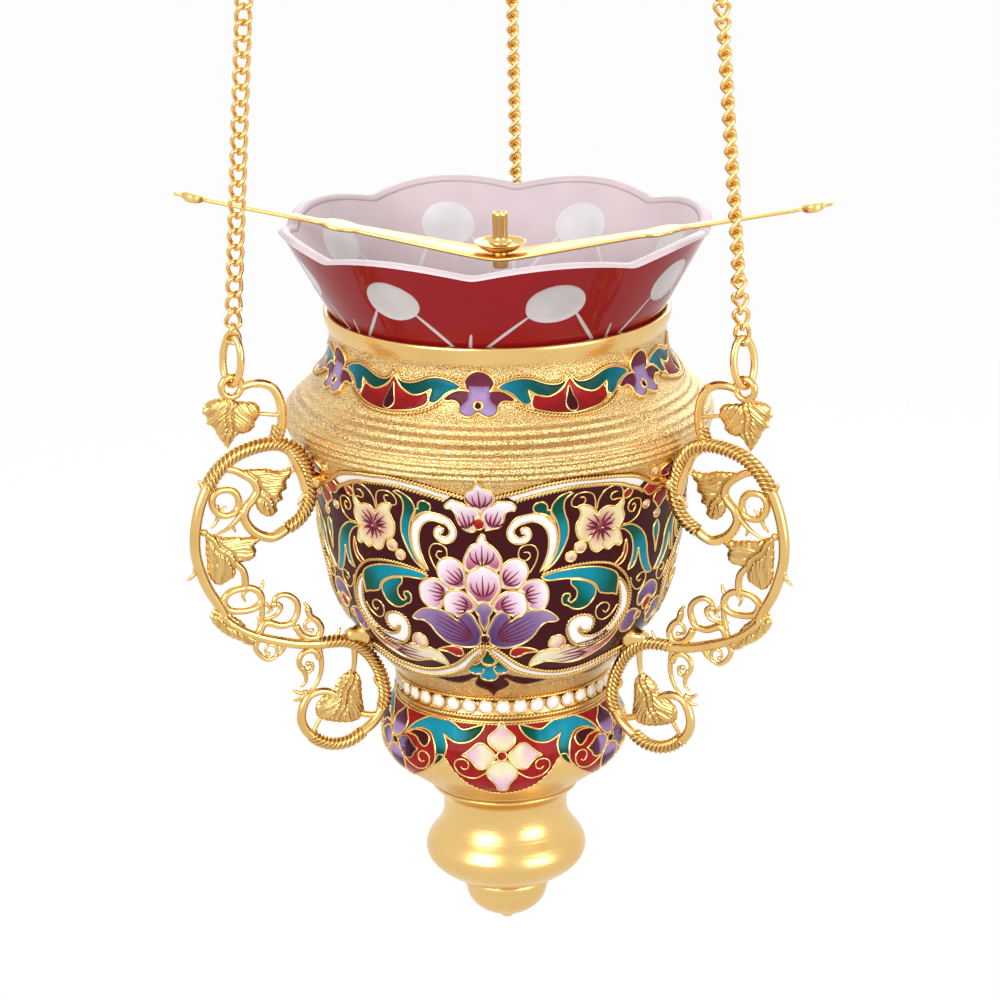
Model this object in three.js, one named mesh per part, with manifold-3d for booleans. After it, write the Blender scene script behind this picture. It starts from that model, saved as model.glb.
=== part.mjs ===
// Vigil lamp: a gilt brass urn with a red glass cup, hung by three chains on cast vine handles.
// Millimetres, +Z up. The origin lies in the ceiling plane, on the lamp's axis, amid the three hooks.
import * as THREE from "three";
import { mergeVertices } from "three/addons/utils/BufferGeometryUtils.js";
import Module from "manifold-3d";

const wasm = await Module();
wasm.setup();

const GAP = 0.3;
const BORE_PLAY = 0.3;
const HANG_PLAY = 0.25;

// Body: one spun shell from the lip down to the waist
const WALL = 1.2;
const LIP_R = 38;
const NECK_R = 36.8;
const SHOULDER_R = 47.1;
const BOWL_R = 40.5;
const WAIST_R = 23.6;
const NECK_DROP = 7.2;
const SHOULDER_DROP = 22.8;
const BOWL_DROP = 45;
const WAIST_DROP = 83.3;
const NECK_FLARE = 7;
const SHOULDER_ROUND = 2.2;
const SHOULDER_TUCK = 4.5;
const BOWL_TUCK = 0.6;
const BOWL_UPPER_ROUND = 13;
const BOWL_LOWER_ROUND = 19;
const WAIST_FLARE_OUT = 7.9;
const WAIST_FLARE_UP = 8.8;
const BODY_FACETS = 36;

// Enamelled panels on the bowl: three alike, each edged with twisted wire. Each line runs from the panel's middle
// out to its side, as (degrees, drop under the lip).
const PANELS = 3;
const PANEL_TURN = -1.4;
const PANEL_RISE = 0.3;
const PANEL_WIRE_RISE = 0.6;
const PANEL_WIRE_WIDTH = 1.1;
const PANEL_TOP_DROPS = [[0, 30.1], [12, 27.9], [25, 26.3], [38, 27.2], [48, 29.6], [54, 31.9], [60, 32.9]];
const PANEL_FOOT_DROPS = [[0, 65.7], [5, 68.3], [10, 70.9], [18, 73.2], [30, 74.5], [45, 73.3], [60, 71.8]];

// Pearl band, lower bulb, finial and the rod that clamps them under the body
const BAND_HEIGHT = 3.8;
const BAND_R = 24.2;
const BAND_WIDTH = 6;
const BULB_R = 27.5;
const BULB_HEIGHT = 22;
const BULB_FOOT_R = 17;
const BULB_WALL = 1.2;
const BULB_FACETS = 30;
const KNOB_HEIGHT = 23.4;
const KNOB_TOP_R = 16.5;
const KNOB_NECK_R = 13.9;
const KNOB_R = 18.1;
const KNOB_FOOT_R = 10.2;
const CAP_HEIGHT = 10.8;
const CAP_R = 9.7;
const CAP_TIP_R = 1.7;
const ROD_R = 2;
const NUT_ACROSS = 7;
const NUT_HEIGHT = 3;
const WASHER_R = 6.5;
const WASHER_THICK = 1;

// Glass cup with eight lobes along its rim
const LOBES = 8;
const LOBE_RISE = 2.6;
const GLASS_WALL = 2.4;
const GLASS_RISE = 17;
const GLASS_INSET = 1.1;
const GLASS_RIM_R = SHOULDER_R - GLASS_INSET;
const GLASS_TURN = -2;
const GLASS_DEPTH = 48;
const GLASS_FOOT_R = 17;
const GLASS_SHANK_R = 23;
const GLASS_FLOOR = 4;

// Wick holder: a sprung strip across the rim, a dish at its hub and a tube for the wick
const STRIP_HALF = 72;
const STRIP_THICK = 0.7;
const STRIP_HUB_WIDTH = 9.5;
const STRIP_WAIST_WIDTH = 5.2;
const STRIP_SWELL_WIDTH = 8;
const STRIP_SWELL_AT = 35.9;
const STRIP_SWELL_HALF = 3.4;
const STRIP_TAIL_WIDTH = 3;
const STRIP_TIP = 4.3;
const STRIP_BEAD_AT = STRIP_HALF - STRIP_TIP;
const STRIP_BEAD_WIDTH = 4.4;
const STRIP_SLOPE = 0.181;
const WICK_TURN = -4;
const WICK_SHIFT = 0.9;
const HUB_R = 5.6;
const HUB_DEPTH = 1.3;
const TUBE_R = 1.7;
const TUBE_BORE_R = 1.1;
const TUBE_ABOVE = 8;
const TUBE_BELOW = 3.8;

// Handles: vine scrolls cast flat, set at equal steps around the body
const HANDLE_COUNT = 3;
const HANDLE_TURN = 60;
const HANDLE_REACH = 27.6;
const EYE_BORE_R = 1.5;
const EYE_WIRE = 1.5;
const ROPE_R = 1.35;
const STEM_R = 1.15;
const TWIG_R = 0.8;
const TENDRIL_R = 0.65;
const LEAF_THICK = 2.2;
const STUD_R = 0.8;
const UPPER_STUD_DROP = 33.6;
const LOWER_STUD_DROP = 70;
const UPPER_SPACER = 1.6;
const UPPER_SPACER_R = 1.9;
const LOWER_SPACER = 2.78;
const LOWER_SPACER_R = 2.6;
const STUD_NUT_ACROSS = 3.6;
const STUD_NUT_HEIGHT = 1.3;

// Chains of curb links, an oval ring below each and a small ring above it
const LINK_WIRE = 0.95;
const LINK_WIDTH = 3.8;
const LINK_LENGTH = 5.15;
const LINK_TWIST = 1;
const LINKS = 23;
const CHAIN_LEAN = 4.3;
const RING_WIRE = 1.5;
const RING_WIDTH = 6.7;
const RING_LENGTH = 12;
const RING_TURN = 65;
const LINK_TURN = 22;
const TOP_RING_WIRE = 1.2;
const TOP_RING_R = 3;

// Ceiling hooks
const HOOK_WIRE = 2;
const HOOK_R = 3.2;
const HOOK_SHANK = 3;
const FLANGE_R = 6.5;
const FLANGE_THICK = 1.5;
const SCREW_LENGTH = 12;
const SCREW_R = 1.4;

const gilt = () => new THREE.MeshStandardMaterial({ color: 0xe0b45c, roughness: 0.22, metalness: 1 });
const satin = () => new THREE.MeshStandardMaterial({ color: 0xdcb063, roughness: 0.4, metalness: 1 });
const enamel = () => new THREE.MeshStandardMaterial({ color: 0x8c2a1e, roughness: 0.15, metalness: 0.4 });
const brass = () => new THREE.MeshStandardMaterial({ color: 0xb08d4a, roughness: 0.45, metalness: 1 });
const redGlass = () => new THREE.MeshStandardMaterial({ color: 0x8e1c1c, roughness: 0.12, metalness: 0 });

const radians = THREE.MathUtils.degToRad;
const lamp = new THREE.Group();
const root = new THREE.Group();
root.add(lamp);

// Solids from geometries, and meshes from solids
function solid(geometry) {
  const bare = new THREE.BufferGeometry();
  const flat = geometry.index ? geometry.toNonIndexed() : geometry;
  bare.setAttribute("position", flat.getAttribute("position"));
  const merged = mergeVertices(bare, 1e-4);
  return new wasm.Manifold(
    new wasm.Mesh({
      numProp: 3,
      vertProperties: merged.attributes.position.array,
      triVerts: new Uint32Array(merged.index.array),
    }),
  );
}

function geometryOf(made) {
  const { vertProperties, triVerts } = made.getMesh();
  const geometry = new THREE.BufferGeometry();
  geometry.setAttribute("position", new THREE.BufferAttribute(new Float32Array(vertProperties), 3));
  geometry.setIndex(new THREE.BufferAttribute(new Uint32Array(triVerts), 1));
  const faceted = geometry.toNonIndexed();
  faceted.computeVertexNormals();
  return faceted;
}

function add(parent, name, geometry, material) {
  const mesh = new THREE.Mesh(geometry, material);
  mesh.name = name;
  parent.add(mesh);
  return mesh;
}

// A revolved solid about Z. The closed outline runs up the outside and back down the inside.
function turned(outline, segments) {
  const points = outline.map(([r, z]) => new THREE.Vector2(r, z));
  points.push(points[0].clone());
  return new THREE.LatheGeometry(points, segments).rotateX(Math.PI / 2);
}

// A solid skin of rings about Z, up the outside and down the inside. Each ring gives its radius and height at a turn.
function ringSkin(rings, segments) {
  const corners = [];
  const triangles = [];
  for (const ring of rings) {
    for (let i = 0; i < segments; i++) {
      const turn = (2 * Math.PI * i) / segments;
      const [r, z] = ring(turn);
      corners.push(new THREE.Vector3(r * Math.sin(turn), -r * Math.cos(turn), z));
    }
  }
  for (let j = 0; j < rings.length - 1; j++) {
    for (let i = 0; i < segments; i++) {
      const n = (i + 1) % segments;
      triangles.push(j * segments + i, j * segments + n, (j + 1) * segments + i);
      triangles.push(j * segments + n, (j + 1) * segments + n, (j + 1) * segments + i);
    }
  }
  const geometry = new THREE.BufferGeometry().setFromPoints(corners);
  geometry.setIndex(triangles);
  return geometry;
}

// A full turned solid whose outline starts and ends on the axis, from the bottom up.
function turnedFull(outline, segments) {
  const points = outline.map(([r, z]) => new THREE.Vector2(r, z));
  return new THREE.LatheGeometry(points, segments).rotateX(Math.PI / 2);
}

// A swept bar of changing radius. Its rings lie square to the line through the points.
function sweep(points, radiusAt, sides, closed = false, phase = 0.5) {
  const side = new THREE.Vector3(0, 1, 0);
  const count = points.length;
  const corners = [];
  for (let i = 0; i < count; i++) {
    const before = points[closed ? (i + count - 1) % count : Math.max(i - 1, 0)];
    const after = points[closed ? (i + 1) % count : Math.min(i + 1, count - 1)];
    const along = after.clone().sub(before).normalize();
    const out = new THREE.Vector3().crossVectors(along, side).normalize();
    const across = new THREE.Vector3().crossVectors(out, along).normalize();
    const radius = radiusAt(i / (count - 1));
    for (let k = 0; k < sides; k++) {
      const turn = (2 * Math.PI * (k + phase)) / sides;
      corners.push(
        points[i]
          .clone()
          .addScaledVector(out, radius * Math.cos(turn))
          .addScaledVector(across, radius * Math.sin(turn)),
      );
    }
  }
  const triangles = [];
  const rings = closed ? count : count - 1;
  for (let i = 0; i < rings; i++) {
    const j = (i + 1) % count;
    for (let k = 0; k < sides; k++) {
      const n = (k + 1) % sides;
      triangles.push(i * sides + k, j * sides + k, i * sides + n);
      triangles.push(i * sides + n, j * sides + k, j * sides + n);
    }
  }
  if (!closed) {
    for (let k = 1; k < sides - 1; k++) {
      triangles.push(0, k, k + 1);
      triangles.push((count - 1) * sides, (count - 1) * sides + k + 1, (count - 1) * sides + k);
    }
  }
  const geometry = new THREE.BufferGeometry().setFromPoints(corners);
  geometry.setIndex(triangles);
  return geometry;
}

// The body's outside, from the lip down, as (radius, height) points under the lip plane
const outside = new THREE.Path();
outside.moveTo(LIP_R, 0);
outside.quadraticCurveTo(NECK_R, -NECK_DROP / 2, NECK_R, -NECK_DROP);
outside.bezierCurveTo(NECK_R, -NECK_DROP - NECK_FLARE, SHOULDER_R, -SHOULDER_DROP + SHOULDER_ROUND, SHOULDER_R, -SHOULDER_DROP);
outside.bezierCurveTo(SHOULDER_R, -SHOULDER_DROP - SHOULDER_TUCK, BOWL_R - BOWL_TUCK, -BOWL_DROP + BOWL_UPPER_ROUND, BOWL_R, -BOWL_DROP);
outside.bezierCurveTo(
  BOWL_R,
  -BOWL_DROP - BOWL_LOWER_ROUND,
  WAIST_R + WAIST_FLARE_OUT,
  -WAIST_DROP + WAIST_FLARE_UP,
  WAIST_R,
  -WAIST_DROP,
);
const outer = outside.getPoints(4);
const coarse = outside.getPoints(3);

function offset(points, distance) {
  return points.map((point, i) => {
    const before = points[Math.max(i - 1, 0)];
    const after = points[Math.min(i + 1, points.length - 1)];
    const along = after.clone().sub(before).normalize();
    return new THREE.Vector2(point.x + along.y * distance, point.y - along.x * distance);
  });
}

function radiusAt(points, height) {
  const i = points.findIndex((point) => point.y <= height);
  const above = points[Math.max(i - 1, 0)];
  const below = points[Math.max(i, 1)];
  return THREE.MathUtils.mapLinear(height, above.y, below.y, above.x, below.x);
}

const inner = offset(coarse, WALL);
inner[0].set(LIP_R - WALL, 0);
const floorTop = -WAIST_DROP + WALL;
const innerWall = inner.filter((point) => point.y > floorTop);
innerWall.push(new THREE.Vector2(radiusAt(inner, floorTop), floorTop));

// A straight hole or stud along a handle's radius, from one radius out to another
function radialBar(fromRadius, toRadius, height, radius, sides) {
  const bar = new THREE.CylinderGeometry(radius, radius, toRadius - fromRadius, sides);
  bar.rotateZ(-Math.PI / 2);
  return bar.translate((fromRadius + toRadius) / 2, 0, height);
}

const handleTurns = [-HANDLE_TURN, HANDLE_TURN, 180];
const handleNames = ["left", "right", "back"];
const planeTurn = (azimuth) => radians(azimuth - 90);

// A height on a panel's edge at a turn about the lamp, from that edge's line of (degrees, drop)
function panelEdge(line, turn) {
  const step = 360 / PANELS;
  const along = THREE.MathUtils.euclideanModulo(THREE.MathUtils.radToDeg(turn) - PANEL_TURN, step);
  const aside = Math.min(along, step - along);
  const i = Math.max(line.findIndex(([degrees]) => degrees >= aside), 1);
  const [before, after] = [line[i - 1], line[i]];
  return -THREE.MathUtils.mapLinear(aside, before[0], after[0], before[1], after[1]);
}

// Rings of the body's outside from the waist up: plain wall, a panel with raised wire edges, plain wall
function bodyRings(clearance) {
  const wallAt = (height, rise) => [radiusAt(outer, height) + rise + clearance, height];
  const flat = (point) => () => [point.x + clearance, point.y];
  const foot = (up, rise) => (turn) => wallAt(panelEdge(PANEL_FOOT_DROPS, turn) + up, rise);
  const top = (down, rise) => (turn) => wallAt(panelEdge(PANEL_TOP_DROPS, turn) - down, rise);
  const between = (share) => (turn) => {
    const low = panelEdge(PANEL_FOOT_DROPS, turn) + PANEL_WIRE_WIDTH;
    const high = panelEdge(PANEL_TOP_DROPS, turn) - PANEL_WIRE_WIDTH;
    return wallAt(low + (high - low) * share, PANEL_RISE);
  };
  const panelFoot = -Math.max(...PANEL_FOOT_DROPS.map(([, drop]) => drop));
  const panelTop = -Math.min(...PANEL_TOP_DROPS.map(([, drop]) => drop));
  const above = outer.filter((point) => point.y > panelTop + PANEL_WIRE_WIDTH).reverse();
  const below = outer.filter((point) => point.y < panelFoot - PANEL_WIRE_WIDTH).reverse();
  return [
    ...below.map(flat),
    foot(-PANEL_WIRE_RISE, 0),
    foot(0, PANEL_WIRE_RISE),
    foot(PANEL_WIRE_WIDTH * 0.7, PANEL_WIRE_RISE),
    ...[0, 0.25, 0.5, 0.75, 1].map(between),
    top(PANEL_WIRE_WIDTH * 0.7, PANEL_WIRE_RISE),
    top(0, PANEL_WIRE_RISE),
    top(-PANEL_WIRE_RISE, 0),
    (turn) => wallAt((panelEdge(PANEL_TOP_DROPS, turn) + above[0].y) / 2, 0),
    ...above.map(flat),
  ];
}

const rodHoleR = ROD_R + BORE_PLAY;
let body = solid(
  ringSkin(
    [
      () => [rodHoleR, -WAIST_DROP],
      ...bodyRings(0),
      ...innerWall.map((point) => () => [point.x, point.y]),
      () => [rodHoleR, floorTop],
      () => [rodHoleR, -WAIST_DROP],
    ],
    BODY_FACETS,
  ),
);
const studHoleR = STUD_R + BORE_PLAY;
for (const azimuth of handleTurns) {
  for (const drop of [UPPER_STUD_DROP, LOWER_STUD_DROP]) {
    const hole = radialBar(WAIST_R / 2, SHOULDER_R + 5, -drop, studHoleR, 6);
    body = body.subtract(solid(hole.rotateZ(planeTurn(azimuth))));
  }
}
add(lamp, "body_shell", geometryOf(body), gilt());

// Pearl band
const bandTop = -WAIST_DROP - GAP;
const bandMiddle = bandTop - BAND_HEIGHT / 2;
add(
  lamp,
  "pearl_band",
  turned(
    [
      [BAND_R - BAND_WIDTH, bandTop - BAND_HEIGHT],
      [BAND_R - 0.4, bandTop - BAND_HEIGHT],
      [BAND_R, bandMiddle - 0.8],
      [BAND_R, bandMiddle + 0.4],
      [BAND_R - 0.9, bandTop],
      [BAND_R - BAND_WIDTH, bandTop],
    ],
    BULB_FACETS,
  ),
  gilt(),
);

// Lower bulb, a thin shell with a floor
const bulbTop = bandTop - BAND_HEIGHT - GAP;
const bulbFoot = bulbTop - BULB_HEIGHT;
const bulbLine = new THREE.Path();
bulbLine.moveTo(BAND_R, bulbTop);
bulbLine.bezierCurveTo(BAND_R + 0.8, bulbTop - 3, BULB_R, bulbTop - 5, BULB_R, bulbTop - 9);
bulbLine.bezierCurveTo(BULB_R, bulbTop - 16, BULB_FOOT_R + 5, bulbFoot + 3, BULB_FOOT_R, bulbFoot);
const bulbOuter = bulbLine.getPoints(4);
const bulbInner = offset(bulbLine.getPoints(3), BULB_WALL).filter((point) => point.y > bulbFoot + BULB_WALL);
bulbInner[0].set(BAND_R - BULB_WALL, bulbTop);
add(
  lamp,
  "lower_bulb",
  turned(
    [
      [rodHoleR, bulbFoot],
      ...bulbOuter.slice().reverse().map((point) => [point.x, point.y]),
      ...bulbInner.map((point) => [point.x, point.y]),
      [bulbInner[bulbInner.length - 1].x - 2, bulbFoot + BULB_WALL],
      [rodHoleR, bulbFoot + BULB_WALL],
    ],
    BULB_FACETS,
  ),
  enamel(),
);

// Finial knob on the rod
const knobTop = bulbFoot - GAP;
const knobFoot = knobTop - KNOB_HEIGHT;
const knobLine = new THREE.Path();
knobLine.moveTo(KNOB_TOP_R, knobTop);
knobLine.bezierCurveTo(KNOB_NECK_R + 0.6, knobTop - 2, KNOB_NECK_R, knobTop - 3.8, KNOB_NECK_R, knobTop - 5.8);
knobLine.bezierCurveTo(KNOB_NECK_R, knobTop - 10, KNOB_R, knobTop - 11.5, KNOB_R, knobTop - 15.6);
knobLine.bezierCurveTo(KNOB_R, knobTop - 19.4, KNOB_FOOT_R + 3.6, knobTop - 19, KNOB_FOOT_R, knobFoot);
const knobOuter = knobLine.getPoints(3);
add(
  lamp,
  "finial_knob",
  turned(
    [[rodHoleR, knobFoot], ...knobOuter.slice().reverse().map((point) => [point.x, point.y]), [rodHoleR, knobTop]],
    20,
  ),
  satin(),
);

// Finial cap: a domed nut that screws on the rod, with a short blunt tip
const capTop = knobFoot - GAP;
const capFoot = capTop - CAP_HEIGHT;
const capBore = CAP_HEIGHT / 2;
const capLine = new THREE.Path();
capLine.moveTo(CAP_R, capTop);
capLine.lineTo(CAP_R, capTop - 1.7);
capLine.bezierCurveTo(CAP_R - 0.4, capTop - 6, CAP_TIP_R + 2.2, capFoot + 4, CAP_TIP_R, capFoot + 2);
capLine.quadraticCurveTo(CAP_TIP_R, capFoot, 0, capFoot);
const capOuter = capLine.getPoints(3);
add(
  lamp,
  "finial_cap",
  turnedFull(
    [
      ...capOuter.slice().reverse().map((point) => [point.x, point.y]),
      [rodHoleR, capTop],
      [rodHoleR, capTop - capBore],
      [0, capTop - capBore],
    ],
    16,
  ),
  satin(),
);

// Tie rod, washer and nut inside the body
const washerFoot = floorTop + GAP;
const nutFoot = washerFoot + WASHER_THICK + GAP;
const rodTop = nutFoot + NUT_HEIGHT + 2;
const rodFoot = capTop - capBore + GAP;
add(
  lamp,
  "tie_rod",
  new THREE.CylinderGeometry(ROD_R, ROD_R, rodTop - rodFoot, 12).rotateX(Math.PI / 2).translate(0, 0, (rodTop + rodFoot) / 2),
  brass(),
);
add(
  lamp,
  "rod_washer",
  turned(
    [
      [rodHoleR, washerFoot],
      [WASHER_R, washerFoot],
      [WASHER_R, washerFoot + WASHER_THICK],
      [rodHoleR, washerFoot + WASHER_THICK],
    ],
    16,
  ),
  brass(),
);

// A six-sided nut whose outer corners and round bore share a lathe-like ring
function nutGeometry(across, boreR, height) {
  const outline = new THREE.Shape();
  for (let i = 0; i < 6; i++) {
    const turn = (Math.PI / 3) * i;
    const reach = across / Math.sqrt(3);
    outline[i ? "lineTo" : "moveTo"](reach * Math.cos(turn), reach * Math.sin(turn));
  }
  const bore = new THREE.Path();
  bore.absarc(0, 0, boreR, 0, 2 * Math.PI, true);
  outline.holes.push(bore);
  return new THREE.ExtrudeGeometry(outline, { depth: height, bevelEnabled: false, curveSegments: 3 });
}
add(lamp, "rod_nut", nutGeometry(NUT_ACROSS, rodHoleR, NUT_HEIGHT).translate(0, 0, nutFoot), brass());

// Glass cup: outer and inner skins as rings of points, rising in lobes at the rim
const SAMPLES_PER_LOBE = 4;
const glassSeatR = LIP_R - WALL - GAP;
const flare = (GLASS_RIM_R - glassSeatR) / GLASS_RISE;
const lobeRise = (turn) => LOBE_RISE * Math.abs(Math.sin((turn * LOBES) / 2)) ** 0.8;
const glassLine = new THREE.Path();
glassLine.moveTo(GLASS_FOOT_R, -GLASS_DEPTH);
glassLine.quadraticCurveTo(GLASS_SHANK_R, -GLASS_DEPTH, GLASS_SHANK_R, -GLASS_DEPTH + 8);
glassLine.lineTo(GLASS_SHANK_R + 1, -GLASS_DEPTH + 20);
glassLine.quadraticCurveTo(glassSeatR - 16 * flare, -16, glassSeatR, 0);
const glassOuter = glassLine.getPoints(3);
const glassInner = offset(glassLine.getPoints(2), -GLASS_WALL).filter((point) => point.y > -GLASS_DEPTH + GLASS_FLOOR);
const glassRings = [];
glassRings.push(() => [0, -GLASS_DEPTH]);
for (const point of glassOuter) glassRings.push(() => [point.x, point.y]);
glassRings.push((turn) => [glassSeatR + flare * (GLASS_RISE + lobeRise(turn) - 1), GLASS_RISE + lobeRise(turn) - 1]);
glassRings.push((turn) => [glassSeatR + flare * (GLASS_RISE + lobeRise(turn)) - 0.7, GLASS_RISE + lobeRise(turn)]);
glassRings.push((turn) => [
  glassSeatR + flare * (GLASS_RISE + lobeRise(turn)) - GLASS_WALL,
  GLASS_RISE + lobeRise(turn) - 0.3,
]);
for (const point of glassInner.slice().reverse()) glassRings.push(() => [point.x, point.y]);
glassRings.push(() => [0, -GLASS_DEPTH + GLASS_FLOOR]);

const cup = ringSkin(glassRings, LOBES * SAMPLES_PER_LOBE).rotateZ(radians(GLASS_TURN));
add(lamp, "glass_cup", geometryOf(solid(cup)), redGlass());

// Wick strip: a flat bar that widens at the hub and at two swellings, and dips towards the hub
const wick = new THREE.Group();
wick.rotation.z = radians(WICK_TURN);
wick.translateX(WICK_SHIFT);
lamp.add(wick);
const stripEdgeTurn = Math.atan(STRIP_TAIL_WIDTH / 2 / GLASS_RIM_R);
const stripTurn = radians(WICK_TURN - GLASS_TURN + 90);
const rimAtStrip = GLASS_RISE + Math.max(lobeRise(stripTurn - stripEdgeTurn), lobeRise(stripTurn + stripEdgeTurn));
const stripHubZ = rimAtStrip + GAP - (GLASS_RIM_R - GLASS_WALL - WICK_SHIFT) * STRIP_SLOPE;
const stripZ = (x) => stripHubZ + Math.abs(x) * STRIP_SLOPE;
const stripStations = [
  [HUB_R + 1, STRIP_HUB_WIDTH],
  [STRIP_SWELL_AT - STRIP_SWELL_HALF, STRIP_WAIST_WIDTH],
  [STRIP_SWELL_AT - STRIP_SWELL_HALF / 2, STRIP_SWELL_WIDTH],
  [STRIP_SWELL_AT + STRIP_SWELL_HALF / 2, STRIP_SWELL_WIDTH * 0.9],
  [STRIP_SWELL_AT + STRIP_SWELL_HALF, STRIP_TAIL_WIDTH],
  [STRIP_BEAD_AT - 1.6, STRIP_TAIL_WIDTH],
  [STRIP_BEAD_AT, STRIP_BEAD_WIDTH],
  [STRIP_BEAD_AT + 1.6, STRIP_TAIL_WIDTH * 0.7],
  [STRIP_HALF, STRIP_TAIL_WIDTH * 0.4],
];
const stripLine = [...stripStations.map(([x, w]) => [-x, w]).reverse(), ...stripStations];
const stripCorners = [];
for (const [x, w] of stripLine) {
  for (const [side, up] of [
    [-1, 0],
    [1, 0],
    [1, 1],
    [-1, 1],
  ]) {
    stripCorners.push(new THREE.Vector3(x, (side * w) / 2, stripZ(x) + up * STRIP_THICK));
  }
}
const stripFaces = [];
for (let i = 0; i < stripLine.length - 1; i++) {
  for (let k = 0; k < 4; k++) {
    const n = (k + 1) % 4;
    stripFaces.push(i * 4 + k, i * 4 + n, (i + 1) * 4 + k);
    stripFaces.push(i * 4 + n, (i + 1) * 4 + n, (i + 1) * 4 + k);
  }
}
const stripEnd = (stripLine.length - 1) * 4;
stripFaces.push(0, 2, 1, 0, 3, 2, stripEnd, stripEnd + 1, stripEnd + 2, stripEnd, stripEnd + 2, stripEnd + 3);
const stripGeometry = new THREE.BufferGeometry().setFromPoints(stripCorners);
stripGeometry.setIndex(stripFaces);
const tubeHoleR = TUBE_R + BORE_PLAY;
const hubZ = stripZ(HUB_R + 1);
const hubHole = new THREE.CylinderGeometry(tubeHoleR, tubeHoleR, 20, 8).rotateX(Math.PI / 2).translate(0, 0, hubZ);
add(wick, "wick_strip", geometryOf(solid(stripGeometry).subtract(solid(hubHole))), gilt());

// Hub dish on top of the strip, and the tube through both
const dishFoot = hubZ + STRIP_THICK + GAP;
add(
  wick,
  "wick_dish",
  turned(
    [
      [tubeHoleR, dishFoot],
      [HUB_R - 2, dishFoot],
      [HUB_R, dishFoot + HUB_DEPTH],
      [HUB_R - 0.5, dishFoot + HUB_DEPTH + 0.4],
      [HUB_R - 2.4, dishFoot + 0.8],
      [tubeHoleR, dishFoot + 0.8],
    ],
    16,
  ),
  gilt(),
);
const collarFoot = dishFoot + 0.8 + GAP;
add(
  wick,
  "wick_tube",
  turned(
    [
      [TUBE_BORE_R, hubZ - TUBE_BELOW],
      [TUBE_R, hubZ - TUBE_BELOW],
      [TUBE_R, collarFoot],
      [TUBE_R + 0.9, collarFoot],
      [TUBE_R + 0.9, collarFoot + 0.7],
      [TUBE_R, collarFoot + 1.2],
      [TUBE_R, hubZ + TUBE_ABOVE],
      [TUBE_BORE_R, hubZ + TUBE_ABOVE],
    ],
    10,
  ),
  gilt(),
);

// Handle casting in its own plane: x is the distance from the lamp's axis, z the height.
// It is drawn about the upper stud, whose flat pad stands on the spacer.
const upperWallR = radiusAt(outer, -UPPER_STUD_DROP);
const lowerWallR = radiusAt(outer, -LOWER_STUD_DROP);
const STUD_TIP = 0.6;
const nutFaceR = (drop) => radiusAt(inner, -drop - STUD_NUT_ACROSS / 2) - GAP;
const padR = upperWallR + UPPER_SPACER + 2 * GAP;
const lowerPadX = lowerWallR + LOWER_SPACER + 2 * GAP - padR;
const lowerPadZ = UPPER_STUD_DROP - LOWER_STUD_DROP;

// The handle is drawn about its upper pad, with its outermost stem 27.6 units out and its lower pad at drawnPad.
// The inner end of the branch follows the lower pad, and the volute under it keeps its height below that pad.
const drawn = HANDLE_REACH / 27.6;
const drawnPad = [-7.6, -36.4];
function placed([x, z]) {
  const low = THREE.MathUtils.clamp((drawnPad[1] + 2.4 - z) / 2.4, 0, 1);
  const inward = THREE.MathUtils.clamp((10 - x) / 13, 0, 1);
  const under = THREE.MathUtils.clamp((drawnPad[1] - 1.6 - z) / 6, 0, 1);
  const across = x * drawn + (lowerPadX - drawnPad[0] * drawn) * low * inward * (1 - under);
  const height = z * drawn + (lowerPadZ - drawnPad[1] * drawn) * low * Math.max(inward, under);
  return new THREE.Vector3(across, 0, height);
}

const eyeAt = placed([18.1, 23.4]);

// A vine leaf, thick along its middle and sharp at its edge, hung by its base at (x, z) of the drawing
function leaf(widthDrawn, heightDrawn, turn, x, z) {
  const half = (widthDrawn * drawn) / 2;
  const height = heightDrawn * drawn;
  const edge = [
    [0, 0],
    [0.45, 0.12],
    [1, -0.02],
    [0.95, -0.26],
    [0.6, -0.5],
    [0.35, -0.82],
    [0, -1],
    [-0.35, -0.82],
    [-0.6, -0.5],
    [-0.95, -0.26],
    [-1, -0.02],
    [-0.45, 0.12],
  ].map(([across, down]) => new THREE.Vector3(across * half, 0, down * height));
  const crowns = [1, -1].map((face) => new THREE.Vector3(0, (face * LEAF_THICK) / 2, -0.3 * height));
  const triangles = edge.flatMap((_, i) => {
    const n = (i + 1) % edge.length;
    return [edge.length, i, n, edge.length + 1, n, i];
  });
  const slab = new THREE.BufferGeometry().setFromPoints([...edge, ...crowns]);
  slab.setIndex(triangles);
  return slab.rotateY(radians(turn)).translate(...placed([x, z]));
}

// The body with clearance around it, as it lies to a handle's plane
const bodyClear = solid(
  ringSkin([() => [0, -WAIST_DROP], ...bodyRings(GAP), () => [0, 0]], BODY_FACETS).rotateZ(-planeTurn(HANDLE_TURN)),
);

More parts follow.
